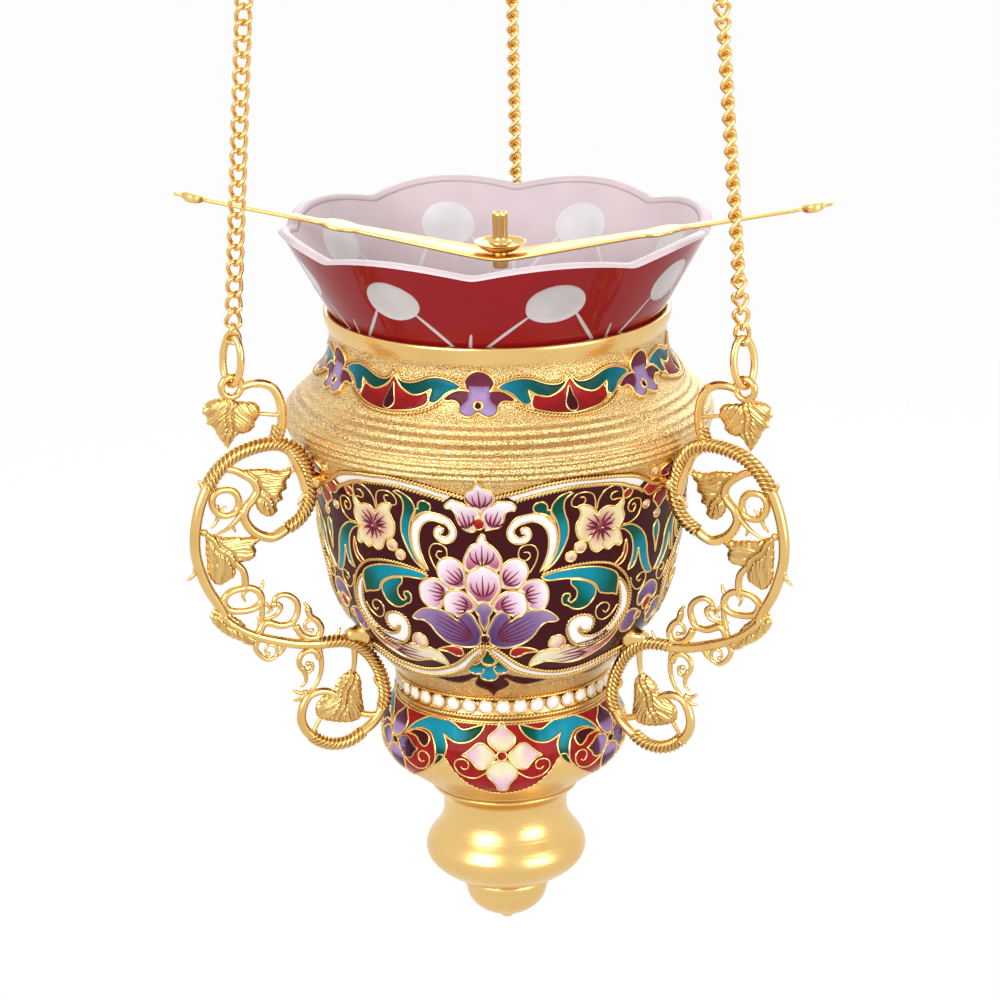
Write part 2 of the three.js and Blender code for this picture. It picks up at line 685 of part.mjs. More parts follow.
function handleSolid() {
  const even = (radius) => () => radius;
  const tapered = (radius) => (t) => radius * (1 - 0.55 * t);
  const bars = [
    // hoop from the eye over to the main scroll
    [[[15.4, 22.4], [11.2, 23.2], [7.9, 20.5], [6.7, 16.8], [7, 12.8], [8.2, 9.9]], even(STEM_R), 5],
    // main scroll: from the upper pad over the top, then out and down the back
    [[[1, -2], [0.6, 0.5], [2.9, 6.6], [5.1, 8.3], [10.4, 9.5], [15.2, 9.1], [18.7, 7.8], [23.5, 3.4]], even(ROPE_R), 8],
    [[[23.5, 3.4], [24.9, 1.3], [26.5, -2.9], [27.6, -8.3], [27.6, -12.8], [26.6, -17], [23, -24.6]], even(STEM_R), 5],
    // upper volute under the pad, curling in behind the second leaf
    [[[1, -2], [1.2, -5.1], [3.4, -8.1], [6.5, -9.9], [10, -11.4], [13.2, -10], [15.2, -7.3], [15.2, -0.5]], even(STEM_R), 8],
    // small ring scroll between the volute and the outer stem
    [[[15, -3.5], [15.8, 0], [18.7, 1.8], [21.7, 0.9], [22.5, -1.7], [22.1, -6.7]], tapered(TWIG_R), 6],
    // stem of the third leaf and the loop under it
    [[[18.8, -14.4], [17, -17.6], [17.3, -21]], even(TWIG_R), 2],
    [
      [[18, -20.7], [14.6, -21.6], [13.5, -24.7], [15.7, -27.1], [19.2, -27.7], [22.1, -25.4], [20.8, -21.6], [17.2, -20.9]],
      even(TWIG_R),
      8,
    ],
    // open curl beside it
    [[[13, -25.3], [10.9, -23.8], [7.9, -24.3], [6.4, -27], [7, -30.2], [9.2, -32.1], [12.6, -30.8]], even(TWIG_R), 6],
    // lower branch from the calyx in to the lower pad, and on round the lower volute
    [
      [[23, -24.6], [21.4, -28.4], [17.1, -32.8], [10, -35.2], [2.7, -37], [-3, -37.2], [-6.6, -38.8], [-10.4, -42.6],
        [-13.6, -46.6], [-15.2, -52.1], [-12.9, -57.4], [-6.8, -61.2], [-3.1, -61.3], [2.5, -56.7], [3.8, -53.2], [1.7, -48.4],
        [-4.2, -49.2]],
      even(STEM_R),
      20,
    ],
    // bud and tendrils on the lower branch
    [[[7, -31.3], [5.2, -34.6], [2.4, -34.4], [1.4, -32.9], [3.2, -31], [4.3, -28.1]], tapered(TWIG_R), 5],
    [[[3, -38.9], [1, -42.5], [0.7, -45.8], [1.9, -48]], even(TWIG_R), 3],
    [[[15.6, -34.6], [14.3, -37.7], [12.9, -39.1], [11.5, -37.5], [11.1, -35.2]], even(TENDRIL_R), 4],
    // twigs that carry the leaves
    [[[-6.5, -38.9], [-7.1, -43.6]], even(TWIG_R), 1],
    [[[11.4, 17], [6.9, 17]], even(TENDRIL_R), 1],
  ];
  let made = null;
  for (const [pairs, radius, steps] of bars) {
    const line = new THREE.CatmullRomCurve3(pairs.map(placed));
    const bar = solid(sweep(line.getSpacedPoints(steps), radius, 4, false, 0));
    made = made ? made.add(bar) : bar;
  }
  const leaves = [
    leaf(12.6, 11.6, 0, 17.4, 20.4),
    leaf(11.8, 12, 24, 9.4, 4.2),
    leaf(11.6, 12, -28, 18.4, -8.6),
    leaf(11.4, 12.6, 165, -5.2, -55.4),
    leaf(8.6, 11.2, 52, 23.6, -28.4),
  ];
  for (const slab of leaves) made = made.add(solid(slab));
  const eye = new THREE.TorusGeometry(EYE_BORE_R + EYE_WIRE / 2, EYE_WIRE / 2, 5, 12).rotateX(Math.PI / 2);
  made = made.add(solid(eye.translate(eyeAt.x, 0, eyeAt.z)));
  made = made.subtract(bodyClear.translate([-padR, 0, UPPER_STUD_DROP]));
  for (const [drop, x, z, padRadius] of [
    [UPPER_STUD_DROP, 0, 0, UPPER_SPACER_R * 0.8],
    [LOWER_STUD_DROP, lowerPadX, lowerPadZ, LOWER_SPACER_R * 0.7],
  ]) {
    const end = nutFaceR(drop) - STUD_NUT_HEIGHT - STUD_TIP - padR;
    const stud = turnedFull(
      [
        [0, end],
        [STUD_R, end],
        [STUD_R, x],
        [padRadius, x],
        [padRadius, x + 2],
        [0, x + 2],
      ],
      8,
    );
    made = made.add(solid(stud.rotateY(Math.PI / 2).translate(0, 0, z)));
  }
  return made;
}

const castHandle = geometryOf(handleSolid());
const nutHoleR = STUD_R + BORE_PLAY;
const upperSpacerLine = [
  [nutHoleR, -1],
  [UPPER_SPACER_R * 0.8, -1],
  [UPPER_SPACER_R, UPPER_SPACER / 2],
  [UPPER_SPACER_R * 0.8, UPPER_SPACER],
  [nutHoleR, UPPER_SPACER],
];
const lowerSpacerLine = [
  [nutHoleR, -3],
  [LOWER_SPACER_R, -3],
  [LOWER_SPACER_R * 0.62, LOWER_SPACER * 0.6],
  [LOWER_SPACER_R * 0.7, LOWER_SPACER],
  [nutHoleR, LOWER_SPACER],
];
const studNut = nutGeometry(STUD_NUT_ACROSS, nutHoleR, STUD_NUT_HEIGHT).rotateY(Math.PI / 2);

// Hanging line of one handle, along its own Z from the middle of the eye's hole
const TOP_RING_TURN = LINK_TURN - 66;
const HOOK_TURN = LINK_TURN + 24;
const linkHalf = (LINK_LENGTH - LINK_WIRE) / 2;
const linkSide = (LINK_WIDTH - LINK_WIRE) / 2;
const LINK_FIT = 0.12;
const linkPitch = 2 * linkHalf - LINK_WIRE + LINK_FIT;
const ringHalf = (RING_LENGTH - RING_WIRE) / 2;
const ringSide = (RING_WIDTH - RING_WIRE) / 2;
const ringMiddle = EYE_BORE_R - RING_WIRE / 2 - HANG_PLAY / 2 + ringHalf;
const chainFoot = ringMiddle + ringHalf - (RING_WIRE + LINK_WIRE) / 2 - HANG_PLAY;
const chainTop = chainFoot + 2 * linkHalf + (LINKS - 1) * linkPitch;
const topRingMiddle = chainTop - (LINK_WIRE + TOP_RING_WIRE) / 2 - HANG_PLAY + TOP_RING_R;
const hookBowl = topRingMiddle + TOP_RING_R - (TOP_RING_WIRE + HOOK_WIRE) / 2 - HANG_PLAY;

function closedLine(pointAt, steps) {
  return Array.from({ length: steps }, (_, i) => pointAt((2 * Math.PI * i) / steps));
}

function ovalRing(side, half, wire, steps, sides) {
  const straight = half - side;
  const pointAt = (t) => new THREE.Vector3(side * Math.cos(t), 0, side * Math.sin(t) + Math.sign(Math.sin(t)) * straight);
  const line = closedLine((t) => pointAt(t + Math.PI / steps), steps);
  return sweep(line, () => wire / 2, sides, true);
}

function chainSolid() {
  const linkPoint = (t) =>
    new THREE.Vector3(linkSide * Math.cos(t), LINK_TWIST * Math.sin(2 * t), linkHalf * Math.sin(t));
  const line = closedLine(linkPoint, 8);
  let made = null;
  for (let i = 0; i < LINKS; i++) {
    const link = sweep(line, () => LINK_WIRE * 0.62, 3, true, 0);
    const placed = solid(link.translate(0, 0, chainFoot + linkHalf + i * linkPitch));
    made = made ? made.add(placed) : placed;
  }
  return made;
}

function hookSolid() {
  const middle = -FLANGE_THICK - HOOK_SHANK - HOOK_R;
  const bend = [];
  for (let degree = 45; degree >= -200; degree -= 245 / 9) {
    const turn = radians(degree);
    bend.push(new THREE.Vector3(HOOK_R * Math.cos(turn), 0, middle + HOOK_R * Math.sin(turn)));
  }
  const shank = [
    new THREE.Vector3(0, 0, -FLANGE_THICK / 2),
    new THREE.Vector3(0, 0, middle + HOOK_R + HOOK_SHANK * 0.6),
    new THREE.Vector3(HOOK_R * 0.2, 0, middle + HOOK_R * 1.15),
  ];
  const line = new THREE.CatmullRomCurve3([...shank, ...bend]).getSpacedPoints(12);
  const flange = turnedFull(
    [
      [0, -FLANGE_THICK - 0.8],
      [HOOK_WIRE, -FLANGE_THICK - 0.4],
      [FLANGE_R, -FLANGE_THICK * 0.5],
      [FLANGE_R, 0],
      [SCREW_R, 0],
      [SCREW_R, SCREW_LENGTH * 0.6],
      [0, SCREW_LENGTH],
    ],
    12,
  );
  return solid(sweep(line, () => HOOK_WIRE / 2, 5)).add(solid(flange));
}
const hookContact = -FLANGE_THICK - HOOK_SHANK - 2 * HOOK_R;

const castChain = geometryOf(chainSolid());
const castHook = geometryOf(hookSolid());
const castRing = ovalRing(ringSide, ringHalf, RING_WIRE, 12, 5);
const castTopRing = ovalRing(TOP_RING_R, TOP_RING_R, TOP_RING_WIRE, 12, 5);
const eyeR = padR + eyeAt.x;
const eyeZ = -UPPER_STUD_DROP + eyeAt.z;
const lean = radians(CHAIN_LEAN);
const hookR = eyeR - hookBowl * Math.sin(lean);
lamp.position.z = hookContact - eyeZ - hookBowl * Math.cos(lean);

for (let i = 0; i < HANDLE_COUNT; i++) {
  const side = handleNames[i];
  const arm = new THREE.Group();
  arm.rotation.z = planeTurn(handleTurns[i]);
  lamp.add(arm);
  add(arm, "handle_" + side, castHandle.clone().translate(padR, 0, -UPPER_STUD_DROP), gilt());

  const barrel = turned(upperSpacerLine, 8).rotateY(Math.PI / 2).translate(upperWallR + GAP, 0, -UPPER_STUD_DROP);
  add(arm, "upper_spacer_" + side, geometryOf(solid(barrel).subtract(bodyClear)), gilt());
  const cone = turned(lowerSpacerLine, 8).rotateY(Math.PI / 2).translate(lowerWallR + GAP, 0, -LOWER_STUD_DROP);
  add(arm, "lower_spacer_" + side, geometryOf(solid(cone).subtract(bodyClear)), gilt());
  for (const [place, drop] of [
    ["upper", UPPER_STUD_DROP],
    ["lower", LOWER_STUD_DROP],
  ]) {
    const nut = studNut.clone().translate(nutFaceR(drop) - STUD_NUT_HEIGHT, 0, -drop);
    add(arm, "handle_nut_" + place + "_" + side, nut, brass());
  }

  const hanging = new THREE.Group();
  hanging.position.set(eyeR, 0, eyeZ);
  hanging.rotation.y = -lean;
  arm.add(hanging);
  const ringTurn = radians(i === 1 ? RING_TURN : -RING_TURN);
  add(hanging, "lower_ring_" + side, castRing.clone().rotateZ(ringTurn).translate(0, 0, ringMiddle), gilt());
  add(hanging, "chain_" + side, castChain.clone().rotateZ(radians(LINK_TURN)), gilt());
  const topRing = castTopRing.clone().rotateZ(radians(TOP_RING_TURN)).translate(0, 0, topRingMiddle);
  add(hanging, "top_ring_" + side, topRing, gilt());

  const hook = new THREE.Group();
  hook.rotation.z = planeTurn(handleTurns[i]);
  root.add(hook);
  add(hook, "ceiling_hook_" + side, castHook.clone().rotateZ(radians(HOOK_TURN)).translate(hookR, 0, 0), brass());
}

export default root;
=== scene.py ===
import math
import bpy
import numpy as np
from mathutils import Matrix, Vector
from mathutils.geometry import delaunay_2d_cdt


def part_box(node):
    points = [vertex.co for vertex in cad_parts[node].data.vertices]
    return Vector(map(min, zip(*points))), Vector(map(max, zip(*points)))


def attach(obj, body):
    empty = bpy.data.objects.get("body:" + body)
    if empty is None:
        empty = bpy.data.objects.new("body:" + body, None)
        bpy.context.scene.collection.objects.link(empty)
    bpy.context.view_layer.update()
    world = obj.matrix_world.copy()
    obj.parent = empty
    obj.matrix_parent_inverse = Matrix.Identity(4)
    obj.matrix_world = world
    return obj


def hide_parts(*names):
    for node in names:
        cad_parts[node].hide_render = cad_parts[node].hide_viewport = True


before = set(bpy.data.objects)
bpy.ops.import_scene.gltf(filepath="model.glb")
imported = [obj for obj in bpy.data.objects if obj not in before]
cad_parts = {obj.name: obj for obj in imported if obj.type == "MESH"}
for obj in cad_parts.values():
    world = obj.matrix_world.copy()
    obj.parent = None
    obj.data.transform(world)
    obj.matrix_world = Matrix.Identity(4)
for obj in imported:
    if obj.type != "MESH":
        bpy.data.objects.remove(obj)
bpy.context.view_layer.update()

# Body: one spun brass shell from the polished lip down over collar, shoulder, bowl and waist, gilded all
# over. The collar, the ridged shoulder and the cusps under the bowl are chased with a fine stipple.
MM = 0.001
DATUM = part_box("body_shell")[1].z / MM - 44.5
LAMP_TURNS = (0, 120, 240)
BODY_LINE = [
    (36.6, 44.6), (37.5, 44.75), (38.0, 44.5), (38.0, 43.6), (37.8, 42.6), (37.45, 41.6), (37.1, 40.6),
    (36.85, 39.4), (36.8, 37), (37.3, 34.4), (38.3, 32.1), (40, 30), (42, 27.8), (44.4, 25.4), (46.2, 23.8),
    (47.0, 22), (47.1, 20.6), (46.4, 18.7), (44.9, 16.5), (43.3, 13.5), (42.2, 11), (41.5, 8), (41.0, 4),
    (40.6, 0), (40, -6), (39, -11), (38, -16), (36.6, -20), (35, -23.5), (33, -26.5), (30.8, -29.5),
    (28.4, -32.5), (26, -35.3), (24.2, -37.5), (23.3, -38.75),
]
FLOOR_LINE = [(2.3, -38.75), (2.3, -37.5), (23, -37.5)]
FLOOR_TOP = -36.9
BODY_WALL = 1.2
LIP_FOOT = 40.6
STIPPLE_TOP = 41.2
STIPPLE_FADE = 0.8
RIDGES_FOOT, RIDGES_TOP = 16.4, 29.5
FIRST_RIDGE, LAST_RIDGE = 16.8, 29.3
RIDGE_FADE = 1.6
RIDGE_PITCH = 1.55
RIDGE_HEIGHT = 0.23
BOWL_TOP = 16
BOWL_STIPPLE = 0.85
ROUND_STEPS = 240
GILT = (0.83, 0.56, 0.21)
GILT_DEEP = (0.62, 0.34, 0.09)
# The next colour is a painted glint, laid on the peaks of the stipple.
GILT_PAINTED_GLINT = (0.95, 0.82, 0.48)
# The next colour is painted shade, laid in stipple pits, along streaks and in valleys and grooves.
GILT_SHADE = (0.30, 0.12, 0.02)


class Amount:
    """A number that varies over a surface, made from a shader socket."""

    def __init__(self, finish, socket):
        self.finish = finish
        self.socket = socket

    def with_math(self, operation, first, second):
        made = self.finish.add("ShaderNodeMath", {"operation": operation}, {0: first, 1: second})
        return Amount(self.finish, made.outputs[0])

    def __add__(self, other):
        return self.with_math("ADD", self, other)

    __radd__ = __add__

    def __sub__(self, other):
        return self.with_math("SUBTRACT", self, other)

    def __rsub__(self, other):
        return self.with_math("SUBTRACT", other, self)

    def __mul__(self, other):
        return self.with_math("MULTIPLY", self, other)

    __rmul__ = __mul__

    def between(self, low, high):
        """0 below low and 1 above high, with a soft step between them."""
        made = self.finish.add(
            "ShaderNodeMapRange", {"clamp": True, "interpolation_type": "SMOOTHSTEP"},
            {"Value": self, "From Min": low, "From Max": high},
        )
        return Amount(self.finish, made.outputs[0])


class Finish:
    """A surface finish: one shader, and the nodes that vary it over the surface."""

    def __init__(self, name, **shader):
        self.material = bpy.data.materials.new(name)
        self.material.use_nodes = True
        self.nodes = self.material.node_tree.nodes
        self.links = self.material.node_tree.links
        self.nodes.clear()
        self.out = self.nodes.new("ShaderNodeOutputMaterial")
        self.shader = self.add("ShaderNodeBsdfPrincipled", {}, {})
        self.wear(**shader)
        self.links.new(self.shader.outputs[0], self.out.inputs["Surface"])

    def put(self, socket, value):
        """Sets a socket to a number or colour, or links it to what varies over the surface."""
        if isinstance(value, Amount):
            value = value.socket
        if isinstance(value, bpy.types.NodeSocket):
            self.links.new(value, socket)
        elif isinstance(value, tuple) and socket.type == "RGBA":
            socket.default_value = (*value[:3], 1)
        else:
            socket.default_value = value

    def add(self, kind, settings, sockets):
        """Any node, with its settings first and then the values or links of its sockets."""
        node = self.nodes.new(kind)
        for key, value in settings.items():
            if key == "stops":
                ramp = node.color_ramp.elements
                while len(ramp) < len(value):
                    ramp.new(0.5)
                for stop, (place, colour) in zip(ramp, value):
                    stop.position = place
                    stop.color = (*colour, 1)
            else:
                setattr(node, key, value)
        for key, value in sockets.items():
            self.put(node.inputs[key], value)
        return node

    def place(self):
        return self.add("ShaderNodeTexCoord", {}, {}).outputs["Object"]

    def read(self, name):
        made = self.add("ShaderNodeAttribute", {"attribute_name": name}, {})
        return Amount(self, made.outputs["Fac"])

    def noise(self, scale, detail, where=None):
        sockets = {"Vector": where or self.place(), "Scale": scale, "Detail": detail}
        return Amount(self, self.add("ShaderNodeTexNoise", {}, sockets).outputs[0])

    def drawn_out(self, scale, detail):
        """Noise with a scale of its own along each axis."""
        where = self.add("ShaderNodeMapping", {}, {"Vector": self.place(), "Scale": scale}).outputs[0]
        return self.noise(1.0, detail, where)

    def blend(self, factor, first, second):
        """A mix of two colours, which are sockets 6 and 7 of the node and its output 2."""
        settings = {"data_type": "RGBA", "clamp_factor": True}
        return self.add("ShaderNodeMix", settings, {0: factor, 6: first, 7: second}).outputs[2]

    def ramp(self, factor, stops):
        return self.add("ShaderNodeValToRGB", {"stops": stops}, {0: factor}).outputs[0]

    def relief(self, height, distance):
        made = self.add("ShaderNodeBump", {}, {"Height": height, "Distance": distance * MM, "Strength": 1.0})
        self.put(self.shader.inputs["Normal"], made.outputs[0])

    def wear(self, **sockets):
        for key, value in sockets.items():
            self.put(self.shader.inputs[key.replace("_", " ")], value)


def unit(vectors):
    return vectors / np.maximum(np.linalg.norm(vectors, axis=-1, keepdims=True), 1e-12)


def smooth_line(points, step, closed=False, sharp=62):
    """A curve through points, spaced about one step, that keeps a corner where the points turn sharply."""
    points = np.asarray(points, float)
    count = len(points)
    if closed:
        before = unit(points - np.roll(points, 1, 0))
        after = unit(np.roll(points, -1, 0) - points)
    else:
        before = unit(points[1:-1] - points[:-2])
        after = unit(points[2:] - points[1:-1])
    turning = np.degrees(np.arccos(np.clip((before * after).sum(-1), -1, 1)))
    corners = list(np.nonzero(turning > sharp)[0])
    if closed:
        if not corners:
            wrapped = np.concatenate([points[-2:], points, points[:3]])
            line, marks = run_through(wrapped, step)
            return line[marks[2]:marks[count + 2]]
        first = corners[0]
        points = np.roll(points, -first, 0)
        points = np.concatenate([points, points[:1]])
        corners = [c - first for c in corners] + [count]
    else:
        corners = [0] + [c + 1 for c in corners] + [count - 1]
    runs = []
    for start, end in zip(corners[:-1], corners[1:]):
        line, _ = run_through(points[start:end + 1], step)
        runs.append(line[:-1])
    if not closed:
        runs.append(points[-1:])
    return np.concatenate(runs)


def run_through(points, step):
    """A curve through points without corners, and the place of each of them on it."""
    gaps = np.maximum(np.linalg.norm(np.diff(points, axis=0), axis=1), 1e-9)
    pace = np.sqrt(gaps)
    slopes = np.diff(points, axis=0) / pace[:, None]
    tangents = np.empty_like(points)
    if len(points) > 2:
        weighted = slopes[:-1] * pace[1:, None] + slopes[1:] * pace[:-1, None]
        tangents[1:-1] = weighted / (pace[1:] + pace[:-1])[:, None]
        tangents[0] = 1.5 * slopes[0] - 0.5 * tangents[1]
        tangents[-1] = 1.5 * slopes[-1] - 0.5 * tangents[-2]
    else:
        tangents[:] = slopes[0]
    out = []
    marks = [0]
    for i, gap in enumerate(gaps):
        pieces = max(1, int(math.ceil(gap / step)))
        t = np.arange(pieces)[:, None] / pieces
        a, b = points[i], points[i + 1]
        m, n = tangents[i] * pace[i], tangents[i + 1] * pace[i]
        out.append(
            (2 * t**3 - 3 * t**2 + 1) * a + (t**3 - 2 * t**2 + t) * m
            + (3 * t**2 - 2 * t**3) * b + (t**3 - t**2) * n
        )
        marks.append(marks[-1] + pieces)
    out.append(points[-1:])
    return np.concatenate(out), marks


def grid_faces(rows, columns, closed_rows=False, closed_columns=True):
    """Quads over corners numbered row by row; a closed direction joins its last line to its first."""
    last_row, last_column = rows - (not closed_rows), columns - (not closed_columns)
    i, k = np.meshgrid(np.arange(last_row), np.arange(last_column), indexing="ij")
    j, n = (i + 1) % rows, (k + 1) % columns
    return np.stack([i * columns + k, j * columns + k, j * columns + n, i * columns + n], -1).reshape(-1, 4)


def spun(line, steps=ROUND_STEPS, tones=None, closed=False):
    """A surface of revolution about the lamp's axis, from (radius, height) pairs that run downwards."""
    line = np.asarray(line, float)
    turns = np.arange(steps) * 2 * math.pi / steps
    x, y = line[:, :1] * np.sin(turns), -line[:, :1] * np.cos(turns)
    corners = np.stack([x, y, np.repeat(line[:, 1:], steps, 1)], -1).reshape(-1, 3)
    shade = np.zeros(len(corners)) if tones is None else np.repeat(np.asarray(tones, float), steps)
    return corners, grid_faces(len(line), steps, closed), shade


def turn_about(part, degrees):
    angle = math.radians(degrees)
    c, s = math.cos(angle), math.sin(angle)
    rotation = np.array([[c, s, 0], [-s, c, 0], [0, 0, 1]])
    return (part[0] @ rotation, *part[1:])


def piece(name, parts, finish, body, replaced=()):
    """One object from parts of (corners in mm, faces, tones, edges), which rides on a body."""
    corners, faces, tones, edges, base = [], [], [], [], 0
    for part in parts:
        corners.append(part[0])
        for group in part[1] if isinstance(part[1], list) else [part[1]]:
            faces.extend((np.asarray(group) + base).tolist())
        tones.append(part[2] if len(part) > 2 else np.zeros(len(part[0])))
        edges.append(part[3] if len(part) > 3 else np.ones(len(part[0])))
        base += len(part[0])
    mesh = bpy.data.meshes.new(name)
    mesh.from_pydata(np.concatenate(corners) * MM, [], faces)
    mesh.polygons.foreach_set("use_smooth", np.ones(len(mesh.polygons), bool))
    # The edge attribute holds a field's distance from its wire for enamel, and for gilt how lit a place is,
    # its low values painting shade.
    for kind, values in (("tone", tones), ("edge", edges)):
        layer = mesh.attributes.new(kind, "FLOAT", "POINT")
        layer.data.foreach_set("value", np.concatenate(values).astype(np.float32))
    mesh.materials.append(finish.material)
    made = bpy.data.objects.new(name, mesh)
    bpy.context.scene.collection.objects.link(made)
    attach(made, body)
    if replaced:
        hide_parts(*replaced)


def gilding(name, roughness, grain_height, deep, lathe=0.0, reflection_streaks=0.0):
    """Gilded brass. Its tone is how strongly it is stippled, and an edge below 1 paints the shade of a valley
    into its colour.
    """
    made = Finish(name, Metallic=1.0, Roughness=roughness, Coat_Weight=0.0)
    stipple = made.read("tone")
    cloud = made.noise(95, 3)
    grain = made.noise(4400, 0.5)
    # Stipple pits are painted darker, towards GILT_DEEP, as shade; the cloud is the gold's own uneven tone.
    marks = (0.5 - grain).between(-0.02, 0.12) * stipple
    # Stipple peaks are painted with the glint colour.
    glinting_peaks = (grain - 0.5).between(0.03, 0.14) * stipple
    shade = cloud.between(0.25, 0.8) * deep + marks * 0.6
    gilt_with_painted_light = made.blend(glinting_peaks * 0.9, made.blend(shade, GILT, GILT_DEEP), GILT_PAINTED_GLINT)
    # Streaks paint dark reflections: darker specks in horizontal bands along the shoulder's ridges.
    if reflection_streaks:
        dark_reflection = made.drawn_out((30, 30, 480), 3).between(0.4, 0.62) * 0.8 + 0.2
        gilt_with_painted_light = made.blend((0.48 - grain).between(0, 0.07) * dark_reflection * stipple * reflection_streaks, gilt_with_painted_light, GILT_SHADE)
    # An edge below 1 paints shade: rope valleys and leaf grooves are darkened towards GILT_SHADE.
    made.wear(Base_Color=made.blend((1 - made.read("edge")) * 0.85, gilt_with_painted_light, GILT_SHADE))
    made.wear(Roughness=roughness + marks * 0.2 + (cloud - 0.5) * 0.12)
    height = (grain - 0.5) * stipple * grain_height
    if lathe:
        height = height + (made.drawn_out((14, 14, 1900), 2) - 0.5) * lathe
    made.relief(height, 1.0)
    return made


body_line = smooth_line(BODY_LINE, 0.8)
fine = smooth_line(BODY_LINE, 0.2)
ridged = fine[(fine[:, 1] < RIDGES_TOP) & (fine[:, 1] > RIDGES_FOOT)]
above, below = body_line[:, 1] >= RIDGES_TOP, body_line[:, 1] <= RIDGES_FOOT
body_line = np.concatenate([body_line[above], ridged, body_line[below]])
heights = body_line[:, 1]
rising = np.clip((heights - FIRST_RIDGE) / RIDGE_FADE, 0, 1)
falling = np.clip((LAST_RIDGE - heights) / RIDGE_FADE, 0, 1)
shell_line = body_line.copy()
shell_line[:, 0] += RIDGE_HEIGHT * (rising * falling) * np.cos(2 * math.pi * heights / RIDGE_PITCH)
shell_tone = np.clip((STIPPLE_TOP - heights) / STIPPLE_FADE, 0, 1)
shell_tone[heights < BOWL_TOP] = BOWL_STIPPLE
inside_line = body_line[heights <= LIP_FOOT][::-1] - [BODY_WALL, 0]
inside_line = inside_line[inside_line[:, 1] > FLOOR_TOP]
shell_outline = np.concatenate([shell_line, FLOOR_LINE, inside_line]) + [0, DATUM]
shell_tones = np.concatenate([shell_tone, np.zeros(len(FLOOR_LINE) + len(inside_line))])
shell = spun(shell_outline, tones=shell_tones, closed=True)
gold_stippled = gilding("gilding_stippled", 0.2, 0.16, 0.3, reflection_streaks=0.9)
piece("body", [shell], gold_stippled, "lamp", ["body_shell"])

# Bowl: three alike panels of cloisonne enamel. Flat gold wires are soldered on edge to the shell, and the
# fields between them are filled with fused glass, shaded from root to tip, and polished a little proud of the
# metal. A place on the bowl is given as its turn about the axis in degrees and its height in mm.
PANEL_SHIFT = -1.4
PLAIN_LIP_FROM = 42
WIRE_WIDTH = 0.5
FINE_WIRE_WIDTH = 0.42
WIRE_HEIGHT = 0.3
ROPE_R = 0.46
FINE_ROPE_R = 0.33
ROPE_PITCH = 0.8
GROUND_LIFT = 0.07
FIELD_LIFT = 0.16
FIELD_CROWN = 0.13
FIELD_GRID = 0.7
SKIRT = -0.2


class Surface:
    """The outside of a spun piece, on which a point is given by its turn in degrees and its height in mm."""

    def __init__(self, line, middle):
        order = np.argsort(line[:, 1])
        self.heights = line[order, 1]
        self.radii = line[order, 0]
        self.flat = np.array([math.radians(1) * middle, 1.0])

    def normals(self, places):
        turns, heights = np.radians(places[:, 0]), places[:, 1]
        above = np.interp(heights + 0.25, self.heights, self.radii)
        below = np.interp(heights - 0.25, self.heights, self.radii)
        return unit(np.stack([np.sin(turns), -np.cos(turns), -(above - below) / 0.5], -1))

    def points(self, places, lift):
        turns = np.radians(places[:, 0])
        radii = np.interp(places[:, 1], self.heights, self.radii)
        on = np.stack([radii * np.sin(turns), -radii * np.cos(turns), places[:, 1] + DATUM], -1)
        return on + self.normals(places) * np.asarray(lift)[..., None]


def edge_distance(places, edge):
    """How far each place lies from a closed outline."""
    start, end = edge, np.roll(edge, -1, 0)
    # lit paints shade into the gilt: grooves and the valleys between lobes go darker, while the rim and
    # midrib stay bright.
    step = end - start
    t = ((places[:, None] - start) * step).sum(-1) / np.maximum((step**2).sum(-1), 1e-12)
    near = start + np.clip(t, 0, 1)[..., None] * step
    return np.sqrt(((places[:, None] - near) ** 2).sum(-1)).min(1)


def within(places, edge):
    """Which places lie inside a closed outline."""
    x, y = places[:, :1], places[:, 1:]
    a, b = edge, np.roll(edge, -1, 0)
    crossing = (a[:, 1] > y) != (b[:, 1] > y)
    rise = np.where(np.abs(b[:, 1] - a[:, 1]) < 1e-12, 1e-12, b[:, 1] - a[:, 1])
    left = x < (b[:, 0] - a[:, 0]) * (y - a[:, 1]) / rise + a[:, 0]
    return (crossing & left).sum(1) % 2 == 1


def filled(edge, grid):
    """The points and triangles that fill a closed flat outline, and the outline points each came from."""
    low, high = edge.min(0), edge.max(0)
    across = np.arange(low[0], high[0] + grid, grid)
    up = np.arange(low[1], high[1] + grid, grid * 0.87)
    x, y = np.meshgrid(across, up)
    x = x + (np.arange(len(up)) % 2)[:, None] * grid / 2
    inner = np.stack([x.ravel(), y.ravel()], -1)
    inner = inner[within(inner, edge)] if len(inner) else inner
    inner = inner[edge_distance(inner, edge) > grid * 0.35] if len(inner) else inner
    count = len(edge)
    every = np.concatenate([edge, inner])
    made = delaunay_2d_cdt([Vector(p) for p in every], [], [list(range(count))], 1, 1e-6)
    flat, faces = np.array([tuple(p) for p in made[0]]), np.array([list(f) for f in made[2]], int)
    area = np.cross(flat[faces[:, 1]] - flat[faces[:, 0]], flat[faces[:, 2]] - flat[faces[:, 0]])
    faces[area < 0] = faces[area < 0][:, ::-1]
    return flat, faces, made[3]


